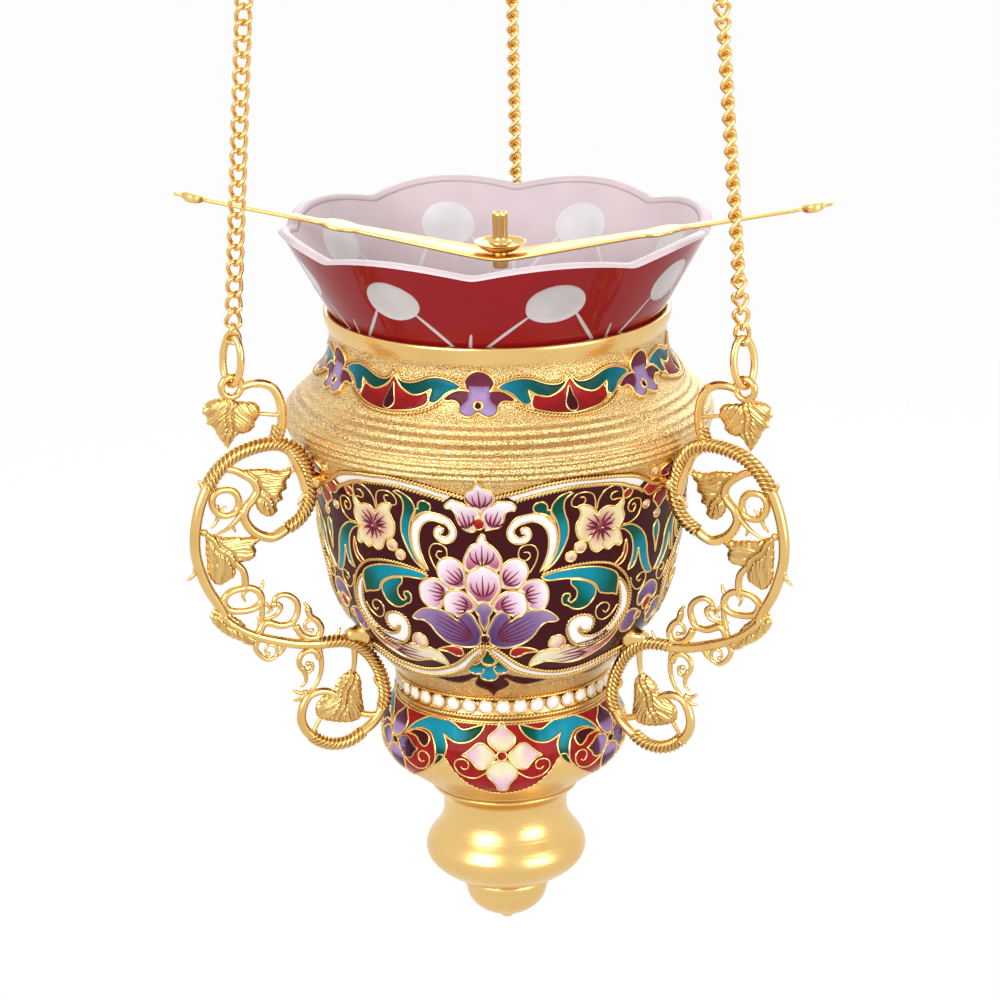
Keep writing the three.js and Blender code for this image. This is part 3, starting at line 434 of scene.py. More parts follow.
def field(surface, outline, root=None, tip=None, lift=FIELD_LIFT, crown=FIELD_CROWN, grid=FIELD_GRID):
    """One domed field of enamel. Its tone runs from its root to its tip."""
    edge = smooth_line(np.asarray(outline, float) * surface.flat, 0.45, True)
    flat, faces, origin = filled(edge, grid)
    far = edge_distance(flat, edge)
    if root is None:
        root, tip = (0, float(edge[:, 1].min())), (0, float(edge[:, 1].max()))
    start, end = np.array(root) * surface.flat, np.array(tip) * surface.flat
    way = end - start
    tone = np.clip(((flat - start) @ way) / max(way @ way, 1e-9), 0, 1)
    lifts = lift + crown * (1 - np.exp(-far / 0.5))
    corners = surface.points(flat / surface.flat, lifts)
    border = [i for i, o in enumerate(origin) if any(v < len(edge) for v in o)]
    rank = {min(v for v in origin[i] if v < len(edge)): i for i in border}
    loop = [rank[key] for key in sorted(rank)]
    skirt = surface.points(flat[loop] / surface.flat, np.full(len(loop), SKIRT))
    base = len(corners)
    ring = np.arange(len(loop))
    following = (ring + 1) % len(loop)
    loop = np.array(loop)
    turned = np.cross(flat[loop], np.roll(flat[loop], -1, 0)).sum() > 0
    walls = np.stack([loop, base + ring, base + following, np.roll(loop, -1)], -1)
    if not turned:
        walls = walls[:, ::-1]
    return (
        np.concatenate([corners, skirt]),
        [faces, walls],
        np.concatenate([tone, tone[loop]]),
        np.concatenate([far, np.zeros(len(loop))]),
    )


def bar(line, out_r, across_r, side, sides, closed=False, rope=0.0, pitch=1.0, strands=2, ends=0.35):
    """A swept bar. Its section is an oval, or strands wound round each other where rope is above 0."""
    line = np.asarray(line, float)
    count = len(line)
    out_r = np.broadcast_to(np.asarray(out_r, float), (count,)).copy()
    across_r = np.broadcast_to(np.asarray(across_r, float), (count,)).copy()
    along = np.roll(line, -1, 0) - np.roll(line, 1, 0)
    if not closed:
        out_r[[0, -1]] *= ends
        across_r[[0, -1]] *= ends
        along[0] = line[1] - line[0]
        along[-1] = line[-1] - line[-2]
    along = unit(along)
    out = unit(np.cross(along, np.broadcast_to(np.asarray(side, float), line.shape)))
    across = unit(np.cross(out, along))
    travelled = np.concatenate([[0], np.cumsum(np.linalg.norm(np.diff(line, axis=0), axis=1))])
    turns = 2 * math.pi * (np.arange(sides) + 0.5) / sides
    swell = 1 + rope * np.cos(strands * turns[None] - 2 * math.pi * travelled[:, None] / pitch)
    corners = (
        line[:, None]
        + out[:, None] * (out_r[:, None] * np.cos(turns) * swell)[..., None]
        + across[:, None] * (across_r[:, None] * np.sin(turns) * swell)[..., None]
    ).reshape(-1, 3)
    faces = [grid_faces(count, sides, closed)]
    if not closed:
        faces.append(np.arange(sides)[None])
        faces.append((np.arange(sides)[::-1] + (count - 1) * sides)[None])
    # lit paints shade: the valleys between rope strands get a low edge, and so darker gilt.
    lit = np.clip((swell - 1) / rope * 0.6 + 0.5, 0, 1) if rope else np.ones((count, sides))
    return corners, faces, np.zeros(len(corners)), lit.ravel()


def cloison(surface, outline, closed=True, width=WIRE_WIDTH, lift=0.12, height=WIRE_HEIGHT):
    """A gold wire on edge along a line of the enamel."""
    places = smooth_line(np.asarray(outline, float) * surface.flat, 0.4, closed) / surface.flat
    line = surface.points(places, np.full(len(places), lift))
    return bar(line, width / 2, height, surface.normals(places), 6, closed, ends=0.5)


def rope_wire(surface, outline, radius=ROPE_R, lift=0.2):
    """Two fine gold wires twisted together, laid along a border."""
    places = smooth_line(np.asarray(outline, float) * surface.flat, 0.13) / surface.flat
    line = surface.points(places, np.full(len(places), lift))
    return bar(line, radius, radius, surface.normals(places), 8, rope=0.36, pitch=ROPE_PITCH)


def strokes(surface, root, tip, width, count=5, reach=0.72, lift=FIELD_LIFT + FIELD_CROWN + 0.13):
    """Painted veins that fan out of a petal's root, each broad at its foot and thin at its end."""
    made = []
    start, end = np.array(root, float) * surface.flat, np.array(tip, float) * surface.flat
    way = end - start
    aside = unit(np.array([-way[1], way[0]])) * width
    t = np.linspace(0, 1, 9)[:, None]
    for i in range(count):
        k = 2 * i / (count - 1) - 1
        foot = start + way * (0.1 + 0.06 * abs(k)) + aside * k * 0.14
        head = start + way * (reach - 0.2 * abs(k) - 0.07 * (i % 2)) + aside * k * 0.4
        bow = aside * k * 0.1 * np.sin(math.pi * t)
        places = (foot + (head - foot) * t + bow) / surface.flat
        thin = 0.31 * (1 - t[:, 0]) ** 0.7 * np.minimum(1, t[:, 0] * 6 + 0.4) + 0.03
        made.append(bar(surface.points(places, np.full(9, lift)), thin, 0.03, surface.normals(places), 4))
    return made


def enamel(name, stops, rim=None, mottle=0.12):
    """Fused glass. The stops run from root to tip, and a rim colour lies along the wires."""
    made = Finish(name, Roughness=0.09, IOR=1.5, Specular_IOR_Level=0.06)
    colour = made.ramp(made.read("tone"), stops)
    if rim:
        colour = made.blend((1 - made.read("edge").between(0.15, 0.75)) * 0.85, colour, rim)
    cloud = made.noise(420, 4)
    dark = made.blend(cloud.between(0.3, 0.75) * mottle * 3, colour, (0.02, 0.01, 0.012))
    speck = made.noise(1500, 1)
    made.wear(Base_Color=dark, Roughness=0.06 + cloud * 0.1)
    made.relief((cloud - 0.5) * 0.05 + (0.3 - speck).between(0, 0.1) * -0.02, 1.0)
    return made


def warp(turns):
    """Turns of the drawn half panel spread so that three panels meet behind the handles."""
    return turns + PANEL_SHIFT * (1 - abs(turns) / 60)


def other_half(outline):
    """The mirror image of a drawn line about its panel's middle."""
    return [(warp(-(turn - PANEL_SHIFT) * 60 / (60 - PANEL_SHIFT)), z) for turn, z in outline]


def both(outline):
    """A drawn line and its image on the other half of the panel."""
    return outline, other_half(outline)


def about(outline, middle):
    """The mirror image of a line about a turn."""
    return [(2 * middle - turn, z) for turn, z in outline]


def all_round(parts, turns):
    return [turn_about(part, turn) for part in parts for turn in turns]


def round_cell(middle, across, up, steps=16):
    """An oval outline, from its middle and its half sizes in degrees and mm."""
    angles = [2 * math.pi * i / steps for i in range(steps)]
    return [(middle[0] + across * math.cos(a), middle[1] + up * math.sin(a)) for a in angles]


def inlay(name, parts, finish, turns=LAMP_TURNS):
    """A piece of the lamp that repeats all round it."""
    piece(name, all_round(parts, turns), finish, "lamp")


def ground(surface, turns, high, low, rows, tone, flip):
    """A thin sheet of enamel between two heights at each turn."""
    heights = high - (high - low) * np.linspace(0, 1, rows)[:, None]
    places = np.stack([np.repeat(turns[None], rows, 0), heights], -1).reshape(-1, 2)
    corners = surface.points(places, np.full(len(places), GROUND_LIFT))
    quads = grid_faces(rows, len(turns), closed_columns=False)
    return corners, quads[:, ::-1] if flip else quads, np.full(len(corners), float(tone))


gold_wire = gilding("gilding_bright", 0.17, 0.05, 0.25)
bowl = Surface(fine[fine[:, 1] < PLAIN_LIP_FROM], 40.5)

TOP_EDGE = [
    (-1.4, 14.4), (3, 14.5), (6, 15.2), (10, 16), (15, 17.2), (20, 17.9), (25, 18.2), (30, 17.9),
    (35, 17.6), (40, 17), (45, 16), (50, 14.2), (54, 12.6), (60, 11.6),
]
TOP_BAND = [(turn, z - 0.5) for turn, z in TOP_EDGE]
TOP_INNER = [
    (8.7, 13.1), (11.8, 13.9), (15.2, 14.5), (19.3, 15.2), (25.6, 15.75), (31.8, 15.5), (36, 15.1),
    (40.2, 14.3), (44.3, 13), (48, 11.9), (50.5, 10.7),
]
FOOT_EDGE = [
    (-1.4, -21.2), (1.5, -22), (5, -23.8), (8.5, -25.8), (12.5, -27.5), (17.5, -28.7), (22, -29.5),
    (27, -30), (32, -30), (40, -29.6), (45, -28.8), (50, -28), (55, -27.5), (60, -27.3),
]
FOOT_OUTER = [
    (0, -23), (3, -25), (7, -27.8), (11, -29.3), (16, -30.5), (22, -31.4), (28, -31.9), (34, -32),
    (42, -31.5), (50, -30.2), (56, -29.3), (60, -29.1),
]

maroon = enamel("enamel_maroon", [(0, (0.047, 0.005, 0.007)), (1, (0.06, 0.006, 0.008))])
half_turns = np.linspace(PANEL_SHIFT, 60, 120)
top = smooth_line(TOP_EDGE, 0.5)
foot = smooth_line(FOOT_EDGE, 0.5)
high = np.interp(half_turns, top[:, 0], top[:, 1])
low = np.interp(half_turns, foot[:, 0], foot[:, 1])
mirror_turns = np.array([other_half([(t, 0)])[0][0] for t in half_turns])
inlay("bowl_ground", [
    ground(bowl, half_turns, high, low, 46, 0, False),
    ground(bowl, mirror_turns, high, low, 46, 0, True),
], maroon)

wires, ropes = [], []


def cells(outlines, mirrored=True, wired=True, **shape):
    """Fields of enamel for outlines of the drawn half, with their wires, and the same on the other half."""
    made = []
    for entry in outlines:
        outline, root, tip = entry if isinstance(entry, tuple) else (entry, None, None)
        halves = [(outline, root, tip)]
        if mirrored:
            ends = other_half([root, tip]) if root else (None, None)
            halves.append((other_half(outline)[::-1], *ends))
        made += [field(bowl, *half, **shape) for half in halves]
        if wired:
            wires.extend(cloison(bowl, half[0]) for half in halves)
    return made


# White bands: a narrow white field between two twisted wires along the top and foot of each panel, and the
# broad white scrolls that curl out of it on each side.
white = enamel("enamel_white", [(0, (0.80, 0.76, 0.73)), (1, (0.84, 0.81, 0.78))], mottle=0.02)


def band(outer, inner):
    """A ribbon field between two lines."""
    return list(outer) + list(inner)[::-1]


WHITE_TOP = band(TOP_BAND[2:12], TOP_INNER[:-1])
WHITE_FOOT = band(FOOT_EDGE[1:], FOOT_OUTER)
WHITE_SCROLL = [
    (16, -3.8), (18, -2.5), (20.3, 0), (21.3, 3), (20.8, 6), (19, 8.5), (16, 9.7), (12, 9.6), (9, 8.9),
    (7, 7.2), (6.2, 5.5), (7, 3.8), (9, 2.9), (11.5, 3.1), (13.3, 4.4), (13, 6), (11.5, 6.7), (10.2, 6.2),
    (10.6, 5.2), (11.6, 5.2), (11.4, 4.6), (10, 4.3), (8.6, 4.9), (8.3, 5.9), (9.3, 7), (11, 7.5),
    (13.5, 7.9), (16, 7.3), (18, 5.5), (18.7, 2.5), (18, -0.5),
]
WHITE_HOOK_OUTER = [
    (43.5, -8), (46.5, -10), (48.8, -13), (48.9, -16), (47.2, -18.4), (45, -20.4), (41.5, -22.1),
    (38, -23.1), (34, -23.4), (30.5, -22.7), (28, -21.3), (26.4, -19.4), (26, -17.6), (27, -16),
    (29.5, -15.2), (32, -15.3), (34.4, -16), (35.8, -17.3), (35.6, -18.7), (34.4, -19.6), (32.8, -19.6),
    (31.4, -19.1), (30.4, -18.2),
]
WHITE_HOOK_INNER = [
    (43.7, -9.5), (45, -12), (45.5, -14.5), (44.6, -17.2), (42.8, -19.2), (40.2, -20.5), (36.8, -21.1),
    (33.9, -20.8), (32.2, -20.2), (30.9, -19.3),
]
white_parts = cells([WHITE_TOP, WHITE_FOOT], wired=False, crown=0.08)
white_parts += cells([WHITE_SCROLL])
white_parts += cells([band(WHITE_HOOK_OUTER, WHITE_HOOK_INNER)], wired=False)
inlay("bowl_white", white_parts, white)
TEAL_OVER = [
    (16.5, -4.5), (20, -3.8), (25, -3.2), (30, -3), (35, -3.3), (40, -4.3), (44, -6.3), (47, -8.6),
    (49.5, -12), (50, -14.5), (49.2, -18), (47.5, -21),
]
for line in (TOP_BAND[1:], TOP_INNER, FOOT_EDGE, FOOT_OUTER):
    ropes += [rope_wire(bowl, side) for side in both(line)]
for line in (TEAL_OVER, band(WHITE_HOOK_OUTER, WHITE_HOOK_INNER)):
    ropes += [rope_wire(bowl, side, FINE_ROPE_R) for side in both(line)]

# Lotus: the great flower of each panel. Its petals shade from a white rim through pink to a plum root, with
# painted veins, over a pair of lilac sepals.
LOTUS = [
    ([(-1.6, 5), (-2.6, 3.8), (-2.8, 3.2), (-4.5, 2.6), (-6, 0.8), (-6.9, -1), (-6.6, -2.6), (-5.5, -3.6),
      (-4, -3.2), (-1.3, -1.2), (1, -2.6), (3, -3.4), (4.4, -2.2), (4.6, -0.8), (3.3, 1.2), (1.5, 2.7),
      (0.2, 3.4), (-0.4, 4.9), (-1, 5.4)], (-1.3, -3), (-1.2, 5.2)),
    ([(-15.3, -3), (-14.5, -1.5), (-12.8, -0.5), (-10.5, -0.4), (-8.5, -1), (-7, -2.6), (-6.5, -4),
      (-6.3, -6.8), (-9, -7.5), (-13, -6.7), (-14.8, -5)], (-6.8, -6.6), (-14.5, -1.6)),
    ([(12.5, -3.6), (11.8, -1.8), (9.8, -0.5), (7.5, -0.5), (5.5, -1.4), (4.2, -3), (4.1, -5), (4.6, -7),
      (9, -7.2), (11.5, -5.5)], (4.4, -6.6), (11.8, -1.9)),
    ([(-1.3, -1), (-2, -2.2), (-4.5, -3), (-6, -4.5), (-6.6, -6), (-6.2, -8), (-4.6, -9.5), (-3.4, -10.8),
      (-1.3, -10.6), (0.8, -10.8), (2.3, -9.5), (4, -7.5), (4.3, -5.8), (3.2, -4), (1, -2.6), (-0.3, -2.2)],
      (-1.3, -10.4), (-1.3, -1.4)),
    ([(-21.7, -9), (-21.4, -7.5), (-19.8, -6.2), (-17.5, -5.5), (-15, -5.6), (-13, -6.8), (-11, -7.8),
      (-13.6, -9), (-14.2, -11), (-15.2, -12.4), (-17, -12.8), (-20, -12), (-21.5, -10.5)], (-12, -9),
      (-21.5, -8)),
    ([(19, -9.5), (18.6, -7.6), (17, -6), (14.5, -5.4), (11.5, -6), (9.5, -7.5), (11.6, -9), (12.4, -11),
      (12.6, -12), (15, -12.9), (17.6, -12.6), (18.8, -11)], (10.6, -9.4), (18.8, -8.2)),
    ([(-14, -11.5), (-13.6, -9.5), (-11.5, -8.2), (-8.5, -7.9), (-6.4, -8.6), (-4.6, -10), (-3.8, -11.5),
      (-5, -12.8), (-7, -12.9), (-9.5, -14.2), (-11, -14), (-13.3, -13)], (-5, -12), (-13.8, -10.4)),
    ([(12.2, -11), (11.5, -9), (9.5, -8), (6.5, -7.9), (3.9, -8.8), (2.2, -10.2), (1.4, -11.5),
      (2.4, -12.8), (5.6, -13), (8.8, -14.2), (10.5, -14), (12.2, -12.5)], (3, -12), (12, -10)),
]
FLOWER = [
    ([(-1.8, 18.6), (-1.1, 17.5), (0, 16.4), (1.4, 15.8), (2.7, 14.8), (2.8, 13.4), (2.1, 12.4),
      (0.4, 11.6), (-0.7, 10.6), (-1.2, 9.6), (-1.8, 10.6), (-2.8, 11.4), (-4.9, 12.4), (-5.4, 14.1),
      (-4.6, 15.5), (-3.2, 16.2), (-2.3, 17.5)], (-1.3, 10.6), (-1.6, 18.4)),
    ([(-11.6, 11.6), (-10.9, 12.4), (-9.8, 13.1), (-8.2, 13.2), (-6.5, 12.7), (-5.2, 11.9), (-3.6, 11.8),
      (-2.4, 11.2), (-1.5, 10.2), (-1.2, 9.3), (-2.2, 9), (-3.6, 8.4), (-4.1, 7.4), (-3.6, 6.5), (-2.9, 6),
      (-4.2, 5.7), (-5.9, 6.1), (-7.3, 7), (-8.2, 8.4), (-8.8, 10), (-9.8, 11), (-11.2, 11)], (-5, 5.7),
      (-7.6, 12.8)),
    ([(8.8, 11.4), (8.6, 12), (7.7, 12.7), (5.6, 13.2), (3.9, 13.1), (2.6, 12.4), (1.9, 11.9), (0.6, 11.6),
      (-0.6, 10.7), (-1.2, 9.3), (-0.4, 8.3), (-0.1, 7.2), (0, 6.1), (1.8, 6.4), (3.9, 6.8), (5, 7.7),
      (5.5, 9.3), (6.1, 10.4), (7.4, 10.7), (8.4, 10.6)], (1.6, 6.1), (4.8, 12.8)),
]
lotus_pink = enamel("enamel_lotus", [
    (0.0, (0.28, 0.045, 0.08)), (0.25, (0.46, 0.16, 0.22)), (0.5, (0.62, 0.40, 0.49)),
    (0.8, (0.74, 0.62, 0.69)),
    (1.0, (0.82, 0.75, 0.80)),
], rim=(0.86, 0.81, 0.83), mottle=0.03)
petal_parts = cells(LOTUS + FLOWER, mirrored=False, lift=0.2, crown=0.2)
inlay("bowl_petals", petal_parts, lotus_pink)
vein_parts = []
for outline, root, tip in LOTUS + FLOWER:
    wide = 6.2 if outline in (LOTUS[0][0], LOTUS[3][0], FLOWER[0][0]) else 5.0
    vein_parts += strokes(bowl, root, tip, wide)
vein_plum = enamel("enamel_veins", [(0, (0.13, 0.012, 0.035)), (1, (0.13, 0.012, 0.035))], mottle=0.05)

SEPAL = [
    (-25.6, -15.5), (-24, -14.3), (-21, -13), (-17, -12.7), (-14, -13.2), (-11.5, -14.4), (-9.8, -15.5),
    (-9.6, -14.4), (-8.8, -13.1), (-7, -12.9), (-5, -13.8), (-3.6, -15.6), (-2.6, -17), (-2.2, -18.4),
    (-3.4, -21), (-6, -21.8), (-10, -21.8), (-14.5, -20.8), (-17.5, -19), (-19.5, -16.9), (-21.5, -15.9),
    (-24.5, -15.9),
]
lilac = enamel("enamel_lilac", [
    (0.0, (0.07, 0.03, 0.09)), (0.3, (0.13, 0.065, 0.17)), (0.7, (0.19, 0.11, 0.25)),
    (1.0, (0.29, 0.20, 0.36)),
], rim=(0.28, 0.20, 0.36), mottle=0.04)
SEPAL_KNOB = [
    (-3.8, -12), (-2.5, -10.9), (-0.8, -10.8), (1, -11.5), (1.2, -12.8), (0.2, -14), (0.2, -15),
    (-1.3, -17.5), (-2.8, -15), (-2.8, -14), (-3.7, -13),
]
vein_parts += strokes(bowl, (-3.4, -20), (-20, -14), 7.5, 7, 0.9)
vein_parts += strokes(bowl, (0.8, -20), (17.4, -14), 7.5, 7, 0.9)
lilac_parts = cells([
    (SEPAL, (-4, -20), (-22, -13)), (other_half(SEPAL)[::-1], (1.2, -20), (20, -13)),
    (SEPAL_KNOB, (-1.3, -17), (-1.3, -11)),
], mirrored=False, lift=0.2, crown=0.22)

# Leaves: long acanthus leaves that shade from teal in the middle to bottle green at their ends, each with a
# hooked side lobe.
TALL_LEAF = [
    (17, -3.9), (20.5, -2), (23, 0.8), (24.6, 4), (24.4, 7), (23.4, 9), (22.8, 11), (23, 12.7), (25, 14.1),
    (23.5, 14.4), (21, 13.4), (19.4, 11.6), (19.2, 10), (20.5, 8.2), (21.6, 6), (21.9, 3), (20.8, 0),
    (18.6, -2.6),
]
GREEN_CURL = [
    (13.8, 11), (14.1, 11.9), (15, 12.4), (16.2, 12.5), (17.3, 12), (17.9, 11.2), (17.9, 10.3),
    (18.8, 10.3), (19.3, 9.2), (20.4, 7.6), (20.2, 6.9), (18.8, 7.9), (17.4, 8.9), (16, 9.5), (14.6, 9.9),
]
LONG_LEAF = [
    (16.5, -5), (20, -4.2), (26, -3.8), (32, -4), (37, -4.8), (42, -6.6), (43.3, -8), (43.5, -10.5),
    (43.6, -12.3), (42, -11.7), (39, -11.2), (36.5, -10.5), (35.3, -9), (34, -8), (30, -6.6), (24, -5.9),
    (18, -5.8),
]
HOOK_LOBE = [
    (26, -6.3), (30, -6.9), (33.5, -8.2), (35, -9.6), (34.9, -11.2), (33.5, -12.7), (30.5, -13.7),
    (27.5, -13.4), (25.5, -12.5), (24, -12), (23.4, -10.6), (24.2, -9.5), (25.8, -9.6), (26.1, -10.5),
    (25.4, -11.2), (26.6, -11.9), (28.2, -11), (28.3, -9.2), (26.2, -7.4),
]
SIDE_LEAF = [
    (41.5, 3.8), (44, 3.8), (47, 3.6), (50, 2.5), (53, 0.6), (54.8, -2), (55.5, -4.5), (57, -7),
    (59.5, -9.3), (57, -9.3), (54.5, -8), (52.6, -6), (51.5, -4), (51, -2.3), (50.7, -3.6), (49.4, -6.2),
    (46.8, -6.9), (47.7, -5.5), (48.4, -3.5), (48.3, -1), (47, 1.2), (44.5, 2.8), (42, 3.5),
]
TREFOIL = [
    ([(-3.4, -25.6), (-5, -26.5), (-7.1, -27), (-8.7, -27.4), (-9.2, -28.4), (-8.3, -29.4), (-6.1, -29.8),
      (-4.4, -29.5), (-4.7, -30.3), (-4.6, -31.1), (-3.2, -31.6), (-0.9, -31.8), (1.3, -31.3), (2.1, -30.3),
      (1.6, -29.3), (3, -29.4), (5.2, -29.3), (6.8, -28.5), (6.5, -27.4), (4.6, -26.4), (2.6, -25.6),
      (1.4, -26.6), (-1.1, -27.2), (-3, -26.6)], (-1.2, -25.8), (-1.2, -29.6)),
    ([(-1.1, -22.3), (-2.1, -23.9), (-3.2, -25.1), (-3, -26.2), (-1.1, -26.9), (1.2, -26.3), (1.8, -25.1),
      (0.6, -24.2), (0, -23.1)], (-1, -24), (-1, -34)),
]
TREFOIL_HOOKS = [
    [(-3.1, -27.9), (-3.2, -28.7), (-3.9, -29.4)], [(1.9, -27.2), (1, -27.6), (0.9, -28.4), (1.6, -29.2)],
]
leaf_enamel = enamel("enamel_leaf", [
    (0.0, (0.002, 0.05, 0.028)), (0.32, (0.001, 0.085, 0.06)), (0.55, (0.002, 0.19, 0.24)),
    (1.0, (0.006, 0.25, 0.36)),
], mottle=0.06)
leaf_parts = cells([
    (TALL_LEAF, (22, 13), (23.5, 2)), (GREEN_CURL, (15, 13), (24, 1)), (LONG_LEAF, (48, -10), (24, -5)),
    (HOOK_LOBE, (24, -12), (36, -4)), (SIDE_LEAF, (46, 5), (53, -8)),
])
leaf_parts += cells(TREFOIL, mirrored=False)
for line in TREFOIL_HOOKS:
    wires.append(cloison(bowl, line, False))
inlay("bowl_leaves", leaf_parts, leaf_enamel)

# Small flowers: a cream orchid on each side of the lotus with a veined lip, and cream beads on a stalk.
ORCHID = [
    (27.25, 10.2), (27.7, 10.7), (29.3, 10.6), (31.2, 10.1), (32.9, 9), (34.3, 7.9), (35.6, 9), (37.7, 9.3),
    (40.2, 8.9), (41.8, 9.8), (42.9, 10.3), (43.2, 9.1), (42.9, 8), (43.8, 6.4), (43.3, 5), (41.6, 3.9),
    (42.8, 2.2), (43.7, 0.2), (42.5, -0.6), (40.5, 0), (38.6, -0.8), (36.6, -0.2), (34.6, -0.9),
    (32.6, -0.2), (31.2, 1.8), (29.6, 2.3), (28, 3), (27.2, 4.3), (27, 5.9), (27.9, 7.3), (28.3, 8.9),
]
ORCHID_HEART = (35, 4.8)
ORCHID_TIPS = ((28.6, 8.4), (28, 4.6), (41.6, 8.6), (42, 5.2), (34, 0.4), (40.6, 0.6))
ORCHID_FOLDS = [
    [(34.3, 7.9), (34, 6.6), (34.6, 5)], [(41.6, 3.9), (39, 3.6), (36.8, 4.2), (35.4, 4.6)],
    [(31.2, 1.8), (32.4, 3.2), (33.6, 4.4)], [(36.6, -0.2), (36, 1.6), (35.2, 3.4)],
]
cream_pink = enamel("enamel_cream_pink", [
    (0.0, (0.18, 0.02, 0.03)), (0.2, (0.40, 0.10, 0.11)), (0.5, (0.66, 0.38, 0.28)),
    (0.8, (0.70, 0.60, 0.33)),
    (1.0, (0.72, 0.66, 0.38)),
], rim=(0.74, 0.68, 0.42), mottle=0.04)
orchid_parts = cells([ORCHID])
for part, heart in zip(orchid_parts, (ORCHID_HEART, *other_half([ORCHID_HEART]))):
    turns = np.degrees(np.arctan2(part[0][:, 0], -part[0][:, 1]))
    away = (np.stack([turns, part[0][:, 2] - DATUM], -1) - heart) * bowl.flat
    part[2][:] = np.clip(np.linalg.norm(away, axis=1) / 6, 0, 1)
for line in ORCHID_FOLDS:
    wires += [cloison(bowl, side, False) for side in both(line)]
ORCHID_BEADS = [round_cell((28.7, 0.9), 1.9, 1.3), round_cell((25.7, -1.0), 1.7, 1.15)]
orchid_parts += cells(ORCHID_BEADS, lift=0.25, crown=0.5)
inlay("bowl_orchids", orchid_parts, cream_pink)
for tip in ORCHID_TIPS:
    for ends in both([ORCHID_HEART, tip]):
        vein_parts += strokes(bowl, *ends, 3.2, 3, 0.8)

# Red enamel: jewel-like drops and beads between the scrolls, the flower round each upper boss, and the
# lappets under the foot band.
ruby = enamel("enamel_red", [(0, (0.20, 0.006, 0.008)), (0.5, (0.33, 0.012, 0.014)), (1, (0.45, 0.03, 0.03))])
RED_DROPS = [
    [(7, -23.8), (8.5, -24.5), (10.5, -24.3), (12, -23.7), (14, -23.4), (17.3, -23.4), (15, -22.6), (12, -22),
     (9.5, -21.9), (7.5, -22.5)],
    [(41.3, -4.7), (43, -5), (45, -4), (46, -2), (45.3, 0.5), (44.8, -1), (44.3, -2.8), (42.5, -3.9)],
    round_cell((44, 11.4), 1.7, 1.2), round_cell((57, -19.5), 1.3, 0.9),
]
LAPPETS = [
    [(3.2, -30.4), (6, -30), (8, -30.5), (11, -31), (15, -31.6), (19, -32.1), (23, -32.3), (27.3, -32.2),
      (23.5, -32.7), (19.3, -33.2), (15.2, -33.5), (11, -33.1), (8, -32.2), (6, -31.4), (4.5, -31.2)],
    [(36, -32.3), (42, -33), (48, -33.2), (54, -32.4), (59, -31.2), (59.5, -29.8), (56, -29.6), (50, -30.5),
      (42, -31.8)],
]
TIP_LAPPET = [
    (-5.6, -30.2), (-6.8, -31.6), (-8.4, -33.2), (-7.6, -34), (-6.5, -34.5), (-3.6, -35.2), (-1.6, -36.2),
    (-0.5, -37.3), (0.4, -36.3), (1.8, -35.5), (4.75, -34.6), (6.8, -33.7), (7, -33), (6, -32.1),
    (4.3, -31.2), (2.9, -30.3), (1.9, -31.6), (-0.8, -32.1), (-3.4, -31.9), (-5, -31),
]
BOSS_FLOWER = [
    ([(55.2, 14.8), (57.5, 16), (60, 16.3), (62.5, 15.6), (64, 14.3), (62, 13), (60, 12.6), (57, 13.2)],
      (60, 12), (60, 16)),
    ([(50.5, 11.3), (52.5, 12.7), (55, 13.2), (57.5, 12.2), (58.6, 10.5), (57, 9.6), (54, 9.2), (52, 10)],
      (58.6, 10.5), (51, 11.2)),
    ([(69.5, 11.3), (67.5, 12.7), (65, 13.2), (62.5, 12.2), (61.4, 10.5), (63, 9.6), (66, 9.2), (68, 10)],
      (61.4, 10.5), (69, 11.2)),
    ([(56.3, 7.4), (57, 8.8), (60, 9.4), (63.4, 8.6), (63.6, 7.2), (61.5, 6.2), (59.5, 5), (57.8, 6.5)],
      (60, 9.4), (60, 5)),
]
red_parts = cells(RED_DROPS, lift=0.2, crown=0.25)
RED_BEADS = [round_cell((-2, 7.6), 1.7, 1.3), round_cell((60, -17), 2.1, 1.5)]
red_parts += cells(RED_BEADS, mirrored=False, lift=0.25, crown=0.3)
dark_parts = cells(LAPPETS, wired=False, lift=0.05, crown=0.05)
dark_parts += cells([TIP_LAPPET], mirrored=False, wired=False, lift=0.05, crown=0.05)
dark_parts += cells([round_cell((-1.3, -19.5), 1.6, 1)], mirrored=False, lift=0.4, crown=0.02)
inlay("bowl_darks", dark_parts, maroon)
red_parts += cells(BOSS_FLOWER, mirrored=False)
inlay("bowl_reds", red_parts, ruby)

# Pale enamel: the leaf along the foot of the panel and the drops round each boss. The lilac trefoil under
# the boss and the gold curls that fill the maroon ground follow.
PALE_LEAF = [
    (14.3, -27.7), (14.6, -26.2), (15.7, -24.8), (17.8, -23.5), (20.2, -23), (22.7, -23.3), (25.3, -23.4),
    (27.3, -22.6), (30.2, -23.4), (34, -24.2), (38, -24.1), (42.3, -23.2), (45.5, -21.6), (47.5, -19.6),
    (47.7, -21), (46.4, -23), (44.3, -24.9), (40.2, -26.5), (36, -27.5), (31.8, -27.8), (27.7, -27.5),
    (23.5, -26.8), (20.2, -26.5), (17.7, -27),
]
PALE_CURL = [
    (20.6, -22.2), (20.3, -21), (21.2, -19.9), (23, -19.5), (24.8, -19.9), (26, -21), (26.4, -22.3),
    (25, -23.1), (22.5, -23),
]
pale = enamel("enamel_pale", [
    (0.0, (0.11, 0.02, 0.03)), (0.2, (0.40, 0.12, 0.14)), (0.45, (0.66, 0.40, 0.38)),
    (0.72, (0.72, 0.60, 0.42)),
    (1.0, (0.74, 0.70, 0.46)),
], mottle=0.04)
pale_parts = cells([(PALE_LEAF, (47, -21), (16, -26)), (PALE_CURL, (27, -23), (20.5, -20.4))])
